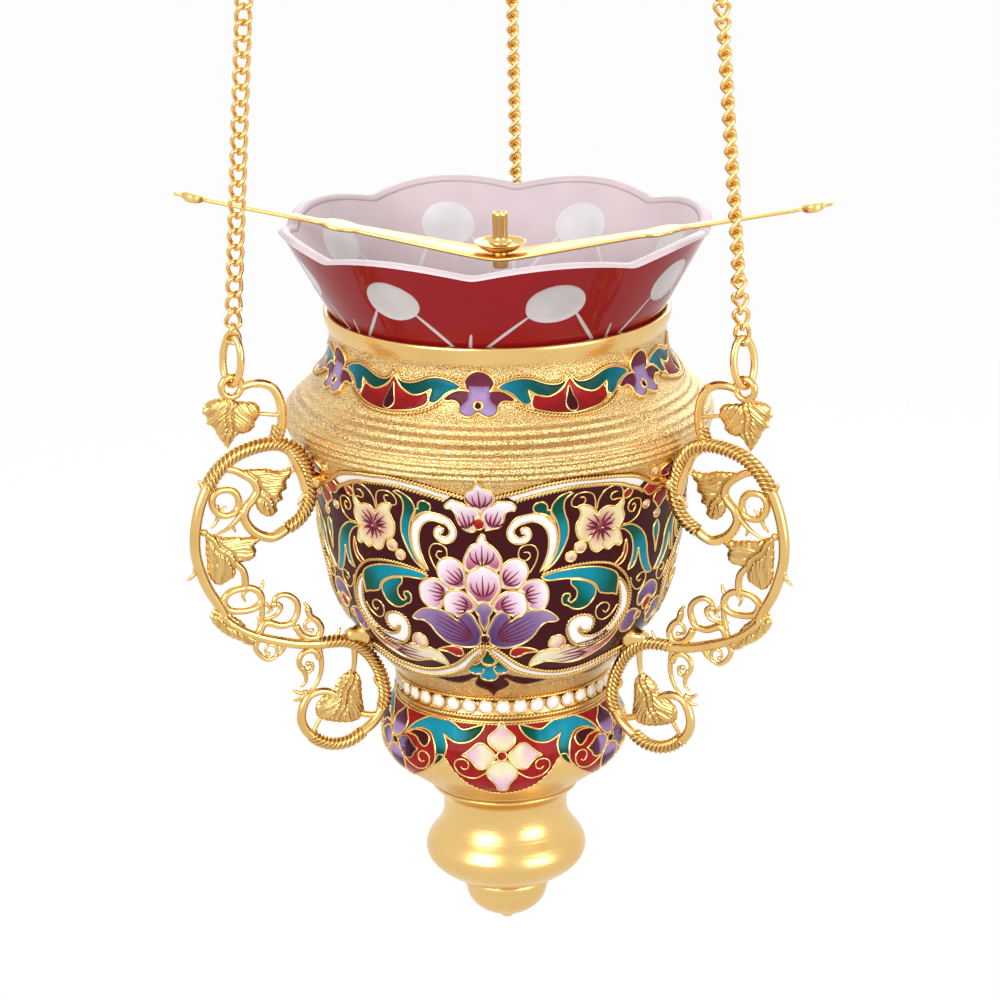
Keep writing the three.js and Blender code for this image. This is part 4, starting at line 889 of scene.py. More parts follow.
for middle in ((52.5, 15.3), (53, 7.2), (66, 6.5), (67, 15.3), (59, 4)):
    pale_parts += cells([round_cell(middle, 1.5, 0.9, 12)], mirrored=False, crown=0.3)
inlay("bowl_pale", pale_parts, pale)
for line in ([(46, -22), (16, -25.5)], [(40, -25.5), (17, -26.5)], [(45, -20.5), (30, -23.6)]):
    for ends in both(line):
        vein_parts += strokes(bowl, *ends, 2.6, 3, 0.8)
inlay("bowl_veins", vein_parts, vein_plum)
BOSS_TREFOIL = [
    ([(54, -14.5), (55.5, -12.8), (58, -12), (60, -11.8), (62.5, -12.3), (64.5, -13.5), (65.5, -15.5),
      (63.5, -16.8), (62, -15.8), (60, -15.3), (58, -15.8), (56.5, -17), (54.8, -16.5)], (60, -16),
      (60, -11.8)),
    ([(47.8, -20), (49, -18), (52, -17.2), (54.6, -17.6), (56.2, -18.2), (55.2, -19.5), (56.6, -21),
      (55, -22.5), (52, -22.8), (49.5, -22)], (56, -19.5), (48, -20)),
    ([(72.2, -20), (71, -18), (68, -17.2), (65.4, -17.6), (63.8, -18.2), (64.8, -19.5), (63.4, -21),
      (65, -22.5), (68, -22.8), (70.5, -22)], (64, -19.5), (72, -20)),
]
lilac_parts += cells(BOSS_TREFOIL, mirrored=False)
inlay("bowl_lilac", lilac_parts, lilac)
CURLS = [
    [(12.8, -4), (15, -1), (15.3, 1), (14, 2.4), (12, 2.6), (10.2, 2), (9.5, 0.7), (10, -0.6), (12, -0.9),
      (13.2, 0), (12.5, 0.9), (11, 0.9)],
    [(33, 9.2), (32.5, 11.5), (31, 13.2), (28.5, 13.9), (26.2, 13.6), (25, 12.2), (25.3, 10.8), (27, 10.3),
      (28.8, 10.7), (29.3, 11.8), (28.6, 12.6), (27.3, 12.6)],
    [(33.5, 8.8), (34, 12), (35.5, 13.8), (38, 14.3), (40.5, 13.5), (42, 11.8), (42.2, 10.2), (40.8, 10.6),
      (38.6, 10.6), (37.6, 11.6), (38.4, 12.5), (40, 12.5)],
    [(43.5, 4.2), (46.5, 4.2), (49.5, 5.3), (50.6, 7), (50, 8.8), (48, 9.5), (46, 9.3), (45, 8),
      (45.8, 6.8), (47.5, 6.5), (48.3, 7.6), (47.5, 8.4), (46.6, 8)],
    [(44.5, -14.5), (42.5, -16.5), (39.5, -17.5), (37, -16.8), (35.8, -15.2), (36.5, -13.8), (38.5, -13.3),
      (40.7, -14), (41, -15.2), (39.8, -15.9), (38.6, -15.2)],
    [(48.8, -9), (50, -11), (52.5, -12.5), (55, -12.4), (56.6, -11), (56, -9.2), (54, -8.8), (52.5, -9.2),
      (51.8, -10), (53, -10.7), (54.2, -10.3)],
]
GREEN_TEAR = [
    (59.5, 2.4), (60.8, 1.2), (61, -0.5), (60.4, -2.5), (59.8, -5), (59, -2.5), (58, -0.5), (58, 1.2),
]
for line in CURLS:
    wires += [cloison(bowl, side, False, FINE_WIRE_WIDTH) for side in both(line)]
tear = cells([(GREEN_TEAR, (59.5, -5), (59.5, 3))], mirrored=False)
inlay("bowl_tears", tear, leaf_enamel)
inlay("bowl_wires", wires, gold_wire)
inlay("bowl_twisted_wires", ropes, gold_wire)

# Collar garland: six small flowers with plum and lilac petals, joined by paired leaves over red lunettes. It
# is cloisonne like the bowl, soldered on the stippled collar.
GARLAND_TURNS = (0, 60, 120, 180, 240, 300)
GARLAND_MIDDLE = -1.8
PLUM_FROM = 36.3
PLUM_BESIDE = 2.2
GARLAND_HALF_FLOWER = [
    (0, 39.7), (1.9, 39.4), (3.9, 38.4), (4.9, 37.1), (4.4, 35.9), (3.2, 35.1), (4.8, 35.4), (7.2, 35.3),
    (9.8, 34.5), (11.8, 33.3), (10.2, 33), (8.6, 33.2), (7, 32.9), (6.2, 32.2), (6, 31.2), (4.9, 30.5),
    (3.2, 30.2), (1.5, 30.5), (0, 31.1),
]
GARLAND_LEAF = [
    (4, 36), (6.5, 37), (10, 37.7), (13, 37.8), (16, 37.4), (19, 36.6), (22, 36.1), (25, 36.2),
    (26.5, 36.9), (27.7, 37.9), (26.3, 35.5), (24, 34.4), (21, 33.7), (18.5, 33.8), (16, 34.5),
    (14.2, 35.3), (14.5, 34), (15, 33), (14, 32.5), (12.5, 32.5), (10.8, 33.3), (9.3, 34.4), (7.5, 35.1),
    (5.5, 35.5),
]
GARLAND_CREST = [
    (2.6, 36.4), (6.3, 37.5), (10, 38.2), (13, 38.3), (16.2, 37.9), (19.2, 37.1), (22, 36.6), (24.7, 36.7),
    (26.2, 37.4), (28.2, 38.9), (30.2, 37.4), (31.7, 36.7), (34.4, 36.6), (37.2, 37.1), (40.2, 37.9),
    (43.4, 38.3), (46.4, 38.2), (50.1, 37.5), (53.8, 36.4),
]
LUNETTE = [
    (28.2, 37.3), (29.4, 36.2), (31.2, 35), (33.4, 34.2), (36, 33.7), (38.6, 34), (40.7, 34.6),
    (41.6, 33.4), (41.3, 32.3), (38, 31.1), (33, 30.5), (28, 30.2), (23, 30.4), (18, 31), (15.2, 31.7),
    (14.9, 32.6), (15.6, 34.2), (18, 34), (20.5, 33.7), (23.4, 34.3), (25.6, 35.3), (27.2, 36.4),
]
LUNETTE_DROP = [
    (28, 35.8), (28.8, 33.5), (29.7, 31.8), (29.3, 30.9), (27.9, 30.5), (26.4, 30.9), (26, 31.8),
    (26.8, 33.5),
]
GARLAND_FOOT = [
    (10, 32.3), (12, 31.7), (15, 31), (21, 30.1), (27.7, 29.75), (35, 30), (41, 30.9), (44.5, 31.9),
    (46, 32.6),
]

collar = Surface(fine[fine[:, 1] < PLAIN_LIP_FROM], 37.4)
collar_wires = []


def collar_cells(outlines, **shape):
    """Fields of enamel on the collar, each in its own wire."""
    made = []
    for outline, root, tip in outlines:
        made.append(field(collar, outline, root, tip, **shape))
        collar_wires.append(cloison(collar, outline))
    return made


half_flower = [(turn + GARLAND_MIDDLE, z) for turn, z in GARLAND_HALF_FLOWER]
garland_flower = half_flower + about(half_flower[1:-1], GARLAND_MIDDLE)[::-1]
leaf_left = about(GARLAND_LEAF, GARLAND_MIDDLE)
plum_to_lilac = enamel("enamel_garland_flower", [
    (0.0, (0.13, 0.022, 0.045)), (0.42, (0.17, 0.03, 0.06)), (0.52, (0.25, 0.15, 0.32)),
    (1.0, (0.37, 0.25, 0.47)),
], mottle=0.09)
flower_parts = collar_cells([(garland_flower, (-1.8, 39.6), (-1.8, 32.6))], lift=0.22, crown=0.25)
for part in flower_parts:
    across = (np.degrees(np.arctan2(part[0][:, 0], -part[0][:, 1])) - GARLAND_MIDDLE) * collar.flat[0]
    up = part[0][:, 2] - DATUM
    beyond = np.maximum(up - PLUM_FROM, np.abs(across) - PLUM_BESIDE - 1.1 * np.clip(33.6 - up, 0, 3))
    part[2][:] = np.clip(0.5 - beyond / 1.6, 0, 1)
inlay("garland_flowers", flower_parts, plum_to_lilac, GARLAND_TURNS)
vine_parts = collar_cells([
    (GARLAND_LEAF, (27.7, 37.9), (6, 36)), (leaf_left, (-31.3, 37.9), (-9.6, 36)),
], lift=0.2, crown=0.22)
green_to_teal = enamel("enamel_garland_leaf", [
    (0.0, (0.0015, 0.035, 0.02)), (0.55, (0.002, 0.08, 0.075)), (1.0, (0.004, 0.19, 0.28)),
], mottle=0.1)
inlay("garland_leaves", vine_parts, green_to_teal, GARLAND_TURNS)
moon_parts = collar_cells([(LUNETTE, (28, 30), (28, 37))], lift=0.15, crown=0.15)
inlay("garland_lunettes", moon_parts, ruby, GARLAND_TURNS)
eye_line = round_cell((-2, 32.4), 1.35, 0.85)
dark_parts = collar_cells([
    (LUNETTE_DROP, (28, 30.5), (28, 35.8)), (eye_line, (-2, 31.6), (-2, 33.2)),
], lift=0.42, crown=0.12)
inlay("garland_darks", dark_parts, maroon, GARLAND_TURNS)
for line in (garland_flower, eye_line):
    collar_wires.append(cloison(collar, line, width=0.62, lift=0.34, height=0.26))
inlay("garland_wires", collar_wires, gold_wire, GARLAND_TURNS)
collar_ropes = [rope_wire(collar, GARLAND_CREST, 0.27, 0.14), rope_wire(collar, GARLAND_FOOT, 0.36)]
inlay("garland_twisted_wires", collar_ropes, gold_wire, GARLAND_TURNS)

# Pearl band: a turned ring under the body with a row of white enamel pearls, each in its own gilt collet,
# between two twisted wires.
PEARLS = 39
FIRST_PEARL = 4.1
PEARL_ROW = -40.1
PEARL_TURN = 3.7
PEARL_UP = 1.5
BAND_LINE = [
    (18.4, -39.05), (22.9, -39.05), (23.35, -39.2), (23.35, -41.2), (23.6, -42.0), (23.9, -42.4),
    (23.7, -42.85), (18.4, -42.85),
]
WAIST_LINE = [
    (24.4, -37.2), (23.75, -38.4), (23.45, -39.4), (23.35, -40.2), (23.4, -41), (23.6, -42), (23.9, -42.5),
]
waist = Surface(np.array(WAIST_LINE), 23.4)
pearls, collets = [], []
for i in range(PEARLS):
    middle = (FIRST_PEARL + 360 * i / PEARLS, PEARL_ROW)
    pearl = round_cell(middle, PEARL_TURN, PEARL_UP, 18)
    collet = round_cell(middle, PEARL_TURN + 0.35, PEARL_UP + 0.18, 18)
    pearls.append(field(waist, pearl, lift=0.25, crown=0.75, grid=0.5))
    collets.append(cloison(waist, collet, width=FINE_WIRE_WIDTH, lift=0.2, height=0.34))
pearl_white = enamel("enamel_pearl", [(0, (0.76, 0.72, 0.72)), (1, (0.84, 0.82, 0.82))], mottle=0.02)
piece("pearls", pearls, pearl_white, "lamp")
piece("pearl_collets", collets, gold_wire, "lamp")
ring = spun(np.array(BAND_LINE) + [0, DATUM], closed=True)
piece("pearl_ring", [ring], gold_stippled, "lamp", ["pearl_band"])


def hoop(surface, height, radius):
    """A twisted wire that runs once round."""
    steps = 720
    places = np.stack([np.arange(steps) * 360 / steps, np.full(steps, height)], -1)
    line = surface.points(places, np.full(steps, 0.1))
    return bar(line, radius, radius, surface.normals(places), 7, True, 0.24, ROPE_PITCH)


hoops = [hoop(waist, -42.45, 0.5), hoop(waist, -38.1, 0.3)]
piece("pearl_wires", hoops, gold_wire, "lamp")

# Lower bulb: a raised brass shell, covered in red enamel with flowers and leaves down to a serrated edge, and
# satin gilt below it.
BULB_LINE = [
    (18.5, -43.15), (23.9, -43.15), (24.3, -44), (25.4, -46), (26.4, -48), (27.15, -50), (27.4, -52),
    (27.3, -54), (26.8, -56), (25.4, -58.1), (23.2, -60.1), (20.7, -62), (18.4, -63.7), (17, -64.7),
    (16.9, -65.15),
]
BULB_INSIDE = [(2.3, -65.15), (2.3, -64), (15, -64), (22, -60), (25.4, -55), (25.6, -50), (22.5, -44.5)]
BULB_GRAIN = 0.12
BULB_MIDDLE = 3.2
NEXT_MIDDLE = 63.2
RED_TOP = -43.6
bulb_line = smooth_line(BULB_LINE, 0.5)
bulb_tone = np.concatenate([np.full(len(bulb_line), BULB_GRAIN), np.zeros(len(BULB_INSIDE))])
bulb_shell = spun(np.concatenate([bulb_line, BULB_INSIDE]) + [0, DATUM], tones=bulb_tone, closed=True)
gold_satin = gilding("gilding_satin", 0.36, 0.05, 0.2, 0.06)
piece("bulb", [bulb_shell], gold_satin, "lamp", ["lower_bulb"])
bulb = Surface(bulb_line[(bulb_line[:, 0] > 16.95) & (bulb_line[:, 1] < -43.2)], 26)
EDGE_BELOW = [
    (3.2, -60.6), (9, -60.3), (14, -59.4), (19, -57.9), (23, -56.1), (27, -53.8), (30, -51.8),
    (33.2, -50.9), (37, -53.4), (42, -55.6), (48, -57.2), (54, -58.5), (60, -59.2), (63.2, -59.3),
]
SERRATION = 0.16
SERRATION_TURN = 2.2
bulb_half = np.linspace(BULB_MIDDLE, BULB_MIDDLE + 60, 200)
edge_below = smooth_line(EDGE_BELOW, 0.5)
lowest = np.interp(bulb_half, edge_below[:, 0], edge_below[:, 1])
lowest = lowest + SERRATION * np.cos(2 * math.pi * (bulb_half - BULB_MIDDLE) / SERRATION_TURN)
inlay("bulb_ground", [
    ground(bulb, bulb_half, RED_TOP, lowest, 26, 0.45, False),
    ground(bulb, 2 * BULB_MIDDLE - bulb_half, RED_TOP, lowest, 26, 0.45, True),
], ruby)
edge_line = list(zip(bulb_half[::2], lowest[::2]))
bulb_wires = []
for line in (edge_line, about(edge_line, BULB_MIDDLE)):
    places = np.array(line)
    on = bulb.points(places, np.full(len(places), 0.12))
    bulb_wires.append(bar(on, 0.2, 0.2, bulb.normals(places), 5))


def bulb_cells(outlines, mirrored=True, **shape):
    """Fields of enamel on the bulb, with their wires, and their mirror images about the bulb's middle."""
    made = []
    for outline, root, tip in outlines:
        pairs = [(outline, root, tip)]
        if mirrored:
            pairs.append((about(outline, BULB_MIDDLE)[::-1], *about([root, tip], BULB_MIDDLE)))
        made += [field(bulb, *pair, **shape) for pair in pairs]
        bulb_wires.extend(cloison(bulb, pair[0]) for pair in pairs)
    return made


CREAM_PETALS = [
    ([(3, -43.1), (4.2, -43.5), (5.2, -44.6), (7.5, -45.4), (9.7, -46.4), (9.4, -47.5), (7.3, -48.5),
      (5.2, -49.1), (3.2, -49.3), (1.2, -49.1), (-0.9, -48.5), (-3, -47.5), (-3.3, -46.4), (-1.1, -45.4),
      (1.2, -44.6), (2.2, -43.5)], (3.2, -49.6), (3.2, -43.4)),
    ([(10, -53.2), (10, -54.8), (8, -56), (6.3, -57.2), (5.6, -58.7), (4.4, -59.3), (3.2, -59), (2, -59.3),
      (0.8, -58.7), (0.1, -57.2), (-1.6, -56), (-3.6, -54.8), (-3.6, -53.2), (-1.8, -52), (0.8, -51.3),
      (3.2, -51.1), (5.6, -51.3), (8.2, -52)], (3.2, -50.8), (3.2, -58.6)),
]
CREAM_SIDE = [
    (9.3, -48.6), (12, -47.7), (15, -47.8), (17, -48.6), (19.5, -49.6), (22, -50.4), (19, -50.9),
    (16.5, -52), (14.5, -53.1), (12, -53.2), (9.8, -52.6), (7.8, -51.6), (6.2, -50.4), (7.2, -49.4),
]
PLUM_PETALS = [
    ([(63.2, -43.6), (60.5, -45), (57.5, -46.2), (57, -47.6), (58.6, -49), (61, -49.8), (63.2, -50),
      (65.4, -49.8), (67.8, -49), (69.4, -47.6), (68.9, -46.2), (65.9, -45)], (63.2, -50.4), (63.2, -44.4)),
    ([(57.4, -53.3), (56.2, -55), (58, -57), (61, -57.9), (63.2, -58.2), (65.4, -57.9), (68.4, -57),
      (70.2, -55), (69, -53.3), (66, -52.3), (63.2, -52), (60.4, -52.3)], (63.2, -51.4), (63.2, -57.4)),
]
PLUM_SIDE = [
    (60, -50.2), (57, -49.4), (53, -49.3), (50, -50.2), (46, -51.1), (48.5, -52.2), (50, -53.3),
    (53, -53.9), (56, -53.4), (58.6, -52.4), (60, -51.4),
]
BULB_LEAF = [
    (12, -43.9), (17, -44.6), (23, -45.3), (28, -44.4), (33, -43.7), (38, -43.6), (43, -43.9), (48, -44.9),
    (52, -46.1), (55, -47.6), (56.5, -49), (53, -47.9), (49, -46.9), (44, -46.6), (40.5, -47), (38, -48),
    (36.2, -49.5), (35.5, -51.5), (36.2, -53), (38.5, -54.2), (34.5, -53.2), (31.8, -51.9), (30.2, -50.4),
    (30, -48.8), (31.4, -47.5), (33.2, -46.6), (29.5, -47.4), (25, -48), (20, -47.7), (16, -46.7),
    (13, -45.2),
]
DARK_DROP = [
    (55.5, -48.5), (52, -47.5), (47, -47.1), (42.5, -47.3), (40.1, -48.1), (40.2, -49.2), (42, -50),
    (45, -49.6), (48, -48.6), (51.5, -48.4),
]
BULB_CURLS = [
    [(9.6, -53.6), (12.6, -54.7), (16, -55.5), (19.4, -55.4), (23.4, -54.6), (25.4, -53.2), (25, -51.9),
      (22.9, -51.3), (20, -51.4), (18.6, -52.3), (19.2, -53.3), (21.2, -53.5), (22.5, -52.9)],
    [(56, -53.8), (52, -54.9), (47, -55.6), (42, -55), (39.3, -53.6), (38.9, -52.2), (40.3, -51.3),
      (43, -51.1), (45.3, -51.9), (45.2, -53.1), (43.4, -53.7), (41.9, -53.2)],
]
bulb_cream = enamel("enamel_blossom", [
    (0.0, (0.62, 0.58, 0.33)), (0.4, (0.72, 0.64, 0.44)), (0.62, (0.70, 0.48, 0.52)),
    (1.0, (0.68, 0.46, 0.56)),
], mottle=0.05)
cream_parts = bulb_cells(CREAM_PETALS, False, lift=0.2, crown=0.22)
cream_parts += bulb_cells([(CREAM_SIDE, (6, -50.2), (21, -49.8))], lift=0.2, crown=0.22)
inlay("bulb_blossoms", cream_parts, bulb_cream)
plum = enamel("enamel_plum", [
    (0.0, (0.42, 0.30, 0.55)), (0.42, (0.34, 0.20, 0.42)), (0.56, (0.11, 0.03, 0.07)),
    (1.0, (0.06, 0.012, 0.025)),
], mottle=0.05)
plum_parts = bulb_cells(PLUM_PETALS, False, lift=0.2, crown=0.22)
plum_parts += bulb_cells([(PLUM_SIDE, (60.4, -50.8), (47, -51.2))], lift=0.2, crown=0.22)
beyond = about(PLUM_SIDE, NEXT_MIDDLE)[::-1]
plum_parts += bulb_cells([(beyond, (66, -50.8), (79, -51.2))], False, lift=0.2, crown=0.22)
inlay("bulb_plum_flowers", plum_parts, plum)
bulb_leaves = bulb_cells([(BULB_LEAF, (12, -46), (38, -46))])
for part in bulb_leaves:
    turns = np.abs(np.degrees(np.arctan2(part[0][:, 0], -part[0][:, 1])) - BULB_MIDDLE)
    low = part[0][:, 2] - DATUM
    part[2][:] = np.clip(np.minimum((turns - 12) / 10, (low + 51.5) / 3.5) * 0.8, 0, 1)
inlay("bulb_leaves", bulb_leaves, leaf_enamel)
bulb_dark = bulb_cells([(DARK_DROP, (40, -49), (55, -48))], lift=0.2, crown=0.22)
dark_eye = round_cell((NEXT_MIDDLE, -51.1), 2.6, 0.75)
bulb_dark += bulb_cells([(dark_eye, (60, -51), (66, -51))], False, lift=0.3, crown=0.3)
inlay("bulb_dark_drops", bulb_dark, maroon)
red_eye = round_cell((BULB_MIDDLE, -50.2), 2.3, 0.95)
bulb_eyes = bulb_cells([(red_eye, (1, -50), (5, -50))], False, lift=0.3, crown=0.35)
inlay("bulb_eyes", bulb_eyes, ruby)
for line in BULB_CURLS:
    for side in (line, about(line, BULB_MIDDLE)):
        bulb_wires.append(cloison(bulb, side, False, FINE_WIRE_WIDTH))
inlay("bulb_wires", bulb_wires, gold_wire)
piece("bulb_top_wire", [hoop(bulb, -43.9, 0.33)], gold_wire, "lamp")

# Finial: a solid brass knob and the domed nut that closes the tie rod under it, turned and gilded satin.
KNOB_LINE = [
    (2.3, -65.46), (15.6, -65.46), (16.5, -65.7), (16.45, -66.2), (15.6, -66.9), (14.6, -68),
    (14.05, -69.5), (13.9, -71), (14, -73), (14.5, -74.8), (15.6, -76.6), (17, -78.4), (17.9, -80.2),
    (18.1, -81.6), (17.75, -83.3), (16.6, -85), (14.6, -86.7), (12, -88.1), (10.5, -88.75), (2.3, -88.86),
]
CAP_LINE = [
    (2.3, -89.16), (9.5, -89.16), (9.75, -89.4), (9.75, -90.6), (9.3, -91), (9.2, -91.8), (8.9, -93.3),
    (8.1, -94.9), (6.6, -96.4), (4.8, -97.5), (3.0, -98.15), (2.0, -98.5), (1.75, -98.9), (1.5, -99.4),
    (0.8, -99.85), (0.02, -99.95),
]
ROD_WELL = [(0.02, -94.4), (2.3, -94.4)]
knob = spun(smooth_line(KNOB_LINE, 0.5) + [0, DATUM], closed=True)
cap = spun(np.concatenate([smooth_line(CAP_LINE, 0.4), ROD_WELL]) + [0, DATUM], closed=True)
turned_finish = gilding("gilding_turned", 0.27, 0.02, 0.25, 0.06)
piece("knob", [knob], turned_finish, "lamp", ["finial_knob"])
piece("cap", [cap], turned_finish, "lamp", ["finial_cap"])

# Handles: three gilt vine scrolls, cast alike on both faces, with rope-wound main stems, smooth branches,
# thorns and ribbed leaves. A bead-ended boss above and a cone below carry each one on the body. Places are
# given as the way out from the lamp's axis and the height, in the handle's plane.
HANDLE_TURNS = {"left": -60, "right": 60, "back": 180}
MAIN_STEM = [
    (45.4, 11.2), (46.2, 14.6), (47.6, 17), (49.7, 19.3), (52.2, 20.4), (55, 20.8), (59.8, 20.2),
    (63.3, 18.9), (66.2, 16.7), (68.1, 14.4), (69.1, 12.6),
]
OUTER_STEM = [
    (67.9, 14.8), (69.5, 12.2), (71.1, 8.3), (72.2, 2.9), (72.2, -1.6), (71.2, -5.8), (69.6, -9.9),
    (67.6, -13.4), (66.2, -16.4),
]
HOOP = [
    (60.9, 34.0), (58.5, 34.5), (55.9, 34.3), (53.6, 33.2), (52.2, 31.2), (51.4, 28), (51.6, 24),
    (52.7, 21),
]
HOOP_FOOT = [(52.4, 24.6), (52.9, 22.6), (53.8, 20.4)]
UPPER_VOLUTE_ROPE = [
    (50.6, 19.6), (47.7, 17.6), (45.9, 14), (45.3, 10.1), (45.9, 6.1), (48, 3.1), (51.1, 1.3),
]
UPPER_VOLUTE = [
    (51.1, 1.3), (54.6, -0.2), (57.6, 0.8), (59.8, 2.8), (60.9, 5.4), (60.3, 7.4), (58.7, 9), (57.7, 10.6),
    (58.4, 12.8), (60.5, 14.6), (63.3, 16.2), (66, 16.6),
]
INNER_CURL = [(51.8, 19.4), (49.9, 18.1), (48.5, 15.3), (47.1, 12.1), (46.3, 8.9)]
RING_SCROLL = [
    (65, 12), (67, 11.7), (68.1, 10.2), (67.8, 8.2), (66.4, 6.6), (64.4, 6.2), (62.6, 6.9), (62, 8.6),
    (62.4, 10.4), (63.6, 11.6),
]
MIDDLE_STEM = [(70, 3.1), (68.1, 1), (65.6, -1.8), (63.4, -4.6), (61.6, -6.8), (61.2, -9.4), (61.6, -11.4)]
MIDDLE_LOOP = [
    (57.6, -14.2), (58.3, -12), (60.3, -10.8), (62.6, -10.7), (64.9, -11.2), (66.3, -12.7), (65.4, -14.9),
    (62.1, -15.8), (59.1, -15.5),
]
OPEN_LOOP = [
    (58.5, -21.6), (57, -19.4), (53.3, -20.6), (50.6, -20.2), (49.4, -18.3), (49.4, -16), (51, -14.2),
    (53, -13.6), (54.4, -14.2), (54.8, -15.5),
]
BUD = [
    (46.9, -17.4), (46.4, -19.5), (44.7, -21.1), (43.9, -23), (44.7, -24.5), (46.6, -24.6), (48.3, -23.7),
    (50, -21),
]
BRANCH = [
    (67.6, -15.6), (66, -17.2), (64.1, -18.9), (61.6, -20.7), (58.3, -22.4), (54.1, -24), (49.9, -25.3),
    (46, -26), (42.6, -26.3),
]
LOWER_ROPE = [
    (45, -26.1), (41.4, -26.2), (38, -26.7), (35.4, -28), (32.6, -30.7), (30.6, -34.1), (29.5, -37.3),
    (29.1, -40.9), (29.9, -44),
]
LOWER_VOLUTE = [(29.7, -43.4), (31.7, -46.3), (34.9, -48.5), (37.6, -49.8)]
WRAPPED_PART = [(34.6, -48.3), (37.8, -49.9), (41.5, -50.1), (44.7, -48.9), (47, -47)]
VOLUTE_END = [
    (46.2, -47.9), (48.1, -46), (49.2, -43.4), (48.8, -40.3), (47.3, -38), (44.8, -37.3), (42.2, -38),
    (40, -39.7), (37.9, -42.2), (35.6, -43.9), (32.6, -44.9), (30.2, -44.8),
]
TENDRILS = [
    ([(49.6, 18.4), (48.4, 16.2), (48.6, 14.6), (50, 13.4)], 0.7, 0.3),
    ([(67.4, 9), (66.9, 6.4), (67.4, 5), (68.6, 3.9)], 0.8, 0.28), ([(65, 6.3), (66.1, 7.4),
      (65, 8.3)], 0.5, 0.28),
    ([(60.6, 5.6), (62.8, 7.6)], 0.8, 0.6), ([(61.2, 6.4), (63.1, 4.4), (65.2, 3),
      (67.6, 2.3)], 0.75, 0.28),
    ([(63.3, 4.5), (63.5, 3.4), (63, 2.2)], 0.5, 0.28), ([(69.6, 13), (70.4, 13.8), (70.9, 15)], 0.8, 0.28),
    ([(72.3, -4), (72.8, -5.8), (74.4, -6.9)], 0.7, 0.28), ([(52, 26.8), (54.2, 27.2),
      (57, 27.8)], 0.5, 0.45),
    ([(58.4, -12), (57.4, -11), (57.2, -9.6)], 0.6, 0.28), ([(60.3, -10.9), (61.9, -12.2),
      (61.3, -13.8)], 0.6, 0.28),
    ([(64.6, -4.2), (66.4, -2.6), (68, -4.6), (67, -7)], 0.5, 0.3),
    ([(54.6, -15.3), (53.2, -16.3), (54, -17.8), (56, -18.4), (58.9, -18)], 0.65, 0.28),
    ([(56.9, -14.8), (55.3, -16.7), (56.6, -17.3)], 0.5, 0.28), ([(57.8, -14.6), (57.6, -17),
      (58.4, -20)], 0.7, 0.6),
    ([(46.6, -19.4), (46.6, -18), (47.8, -16.2)], 0.75, 0.28), ([(46.2, -20.2), (47.6, -21), (47.6, -22.4),
      (46.2, -22.9)], 0.5, 0.35),
    ([(44.6, -26.2), (41.5, -25.9), (40.1, -24.9), (39.4, -23.4)], 0.8, 0.28), ([(44.2, -23.6),
      (45.4, -25.6)], 0.7, 0.8),
    ([(52.6, -24.8), (53.4, -26.6), (54.8, -27.6)], 0.8, 0.28), ([(58.4, -22.6), (59.4, -24.6),
      (58.2, -26.8), (56.4, -27.9), (54.6, -27.2), (54.6, -25.4), (56.2, -24.6), (57.2, -25.6),
      (56.6, -26.6)], 0.7, 0.3),
    ([(44.8, -26.6), (44.2, -29.4), (44.1, -31.4), (44.5, -33.6), (45.5, -35.5), (47.2, -36.9),
      (49.2, -37)], 0.75, 0.3),
    ([(44.6, -29.8), (45.4, -28), (47, -27.4), (48.6, -28), (49.4, -29.8), (48.8, -31.5), (47.4, -32.3),
      (46.3, -31.7), (46.4, -30.6), (47.3, -30.4)], 0.8, 0.4), ([(48.9, -30.8), (47.9, -33.2), (48, -34.6),
      (49.2, -35.5)], 0.75, 0.28),
    ([(47.8, -36.8), (49.4, -36.9), (51, -35.9)], 0.7, 0.28), ([(47.9, -37), (49.4, -38.3),
      (51, -38.3)], 0.7, 0.28),
    ([(36.2, -28), (36.2, -31), (36.5, -33.4), (37.4, -35.6), (38.8, -38)], 0.75, 0.4),
    ([(44.8, -43.6), (45.9, -45.4), (46.9, -47)], 0.5, 0.4), ([(46.2, 8.4), (47.6, 7.4),
      (48.4, 6)], 0.7, 0.28),
    ([(29.6, -39), (31.2, -37.6), (31.6, -36)], 0.6, 0.28),
]
EYE = (62.7, 34.4)
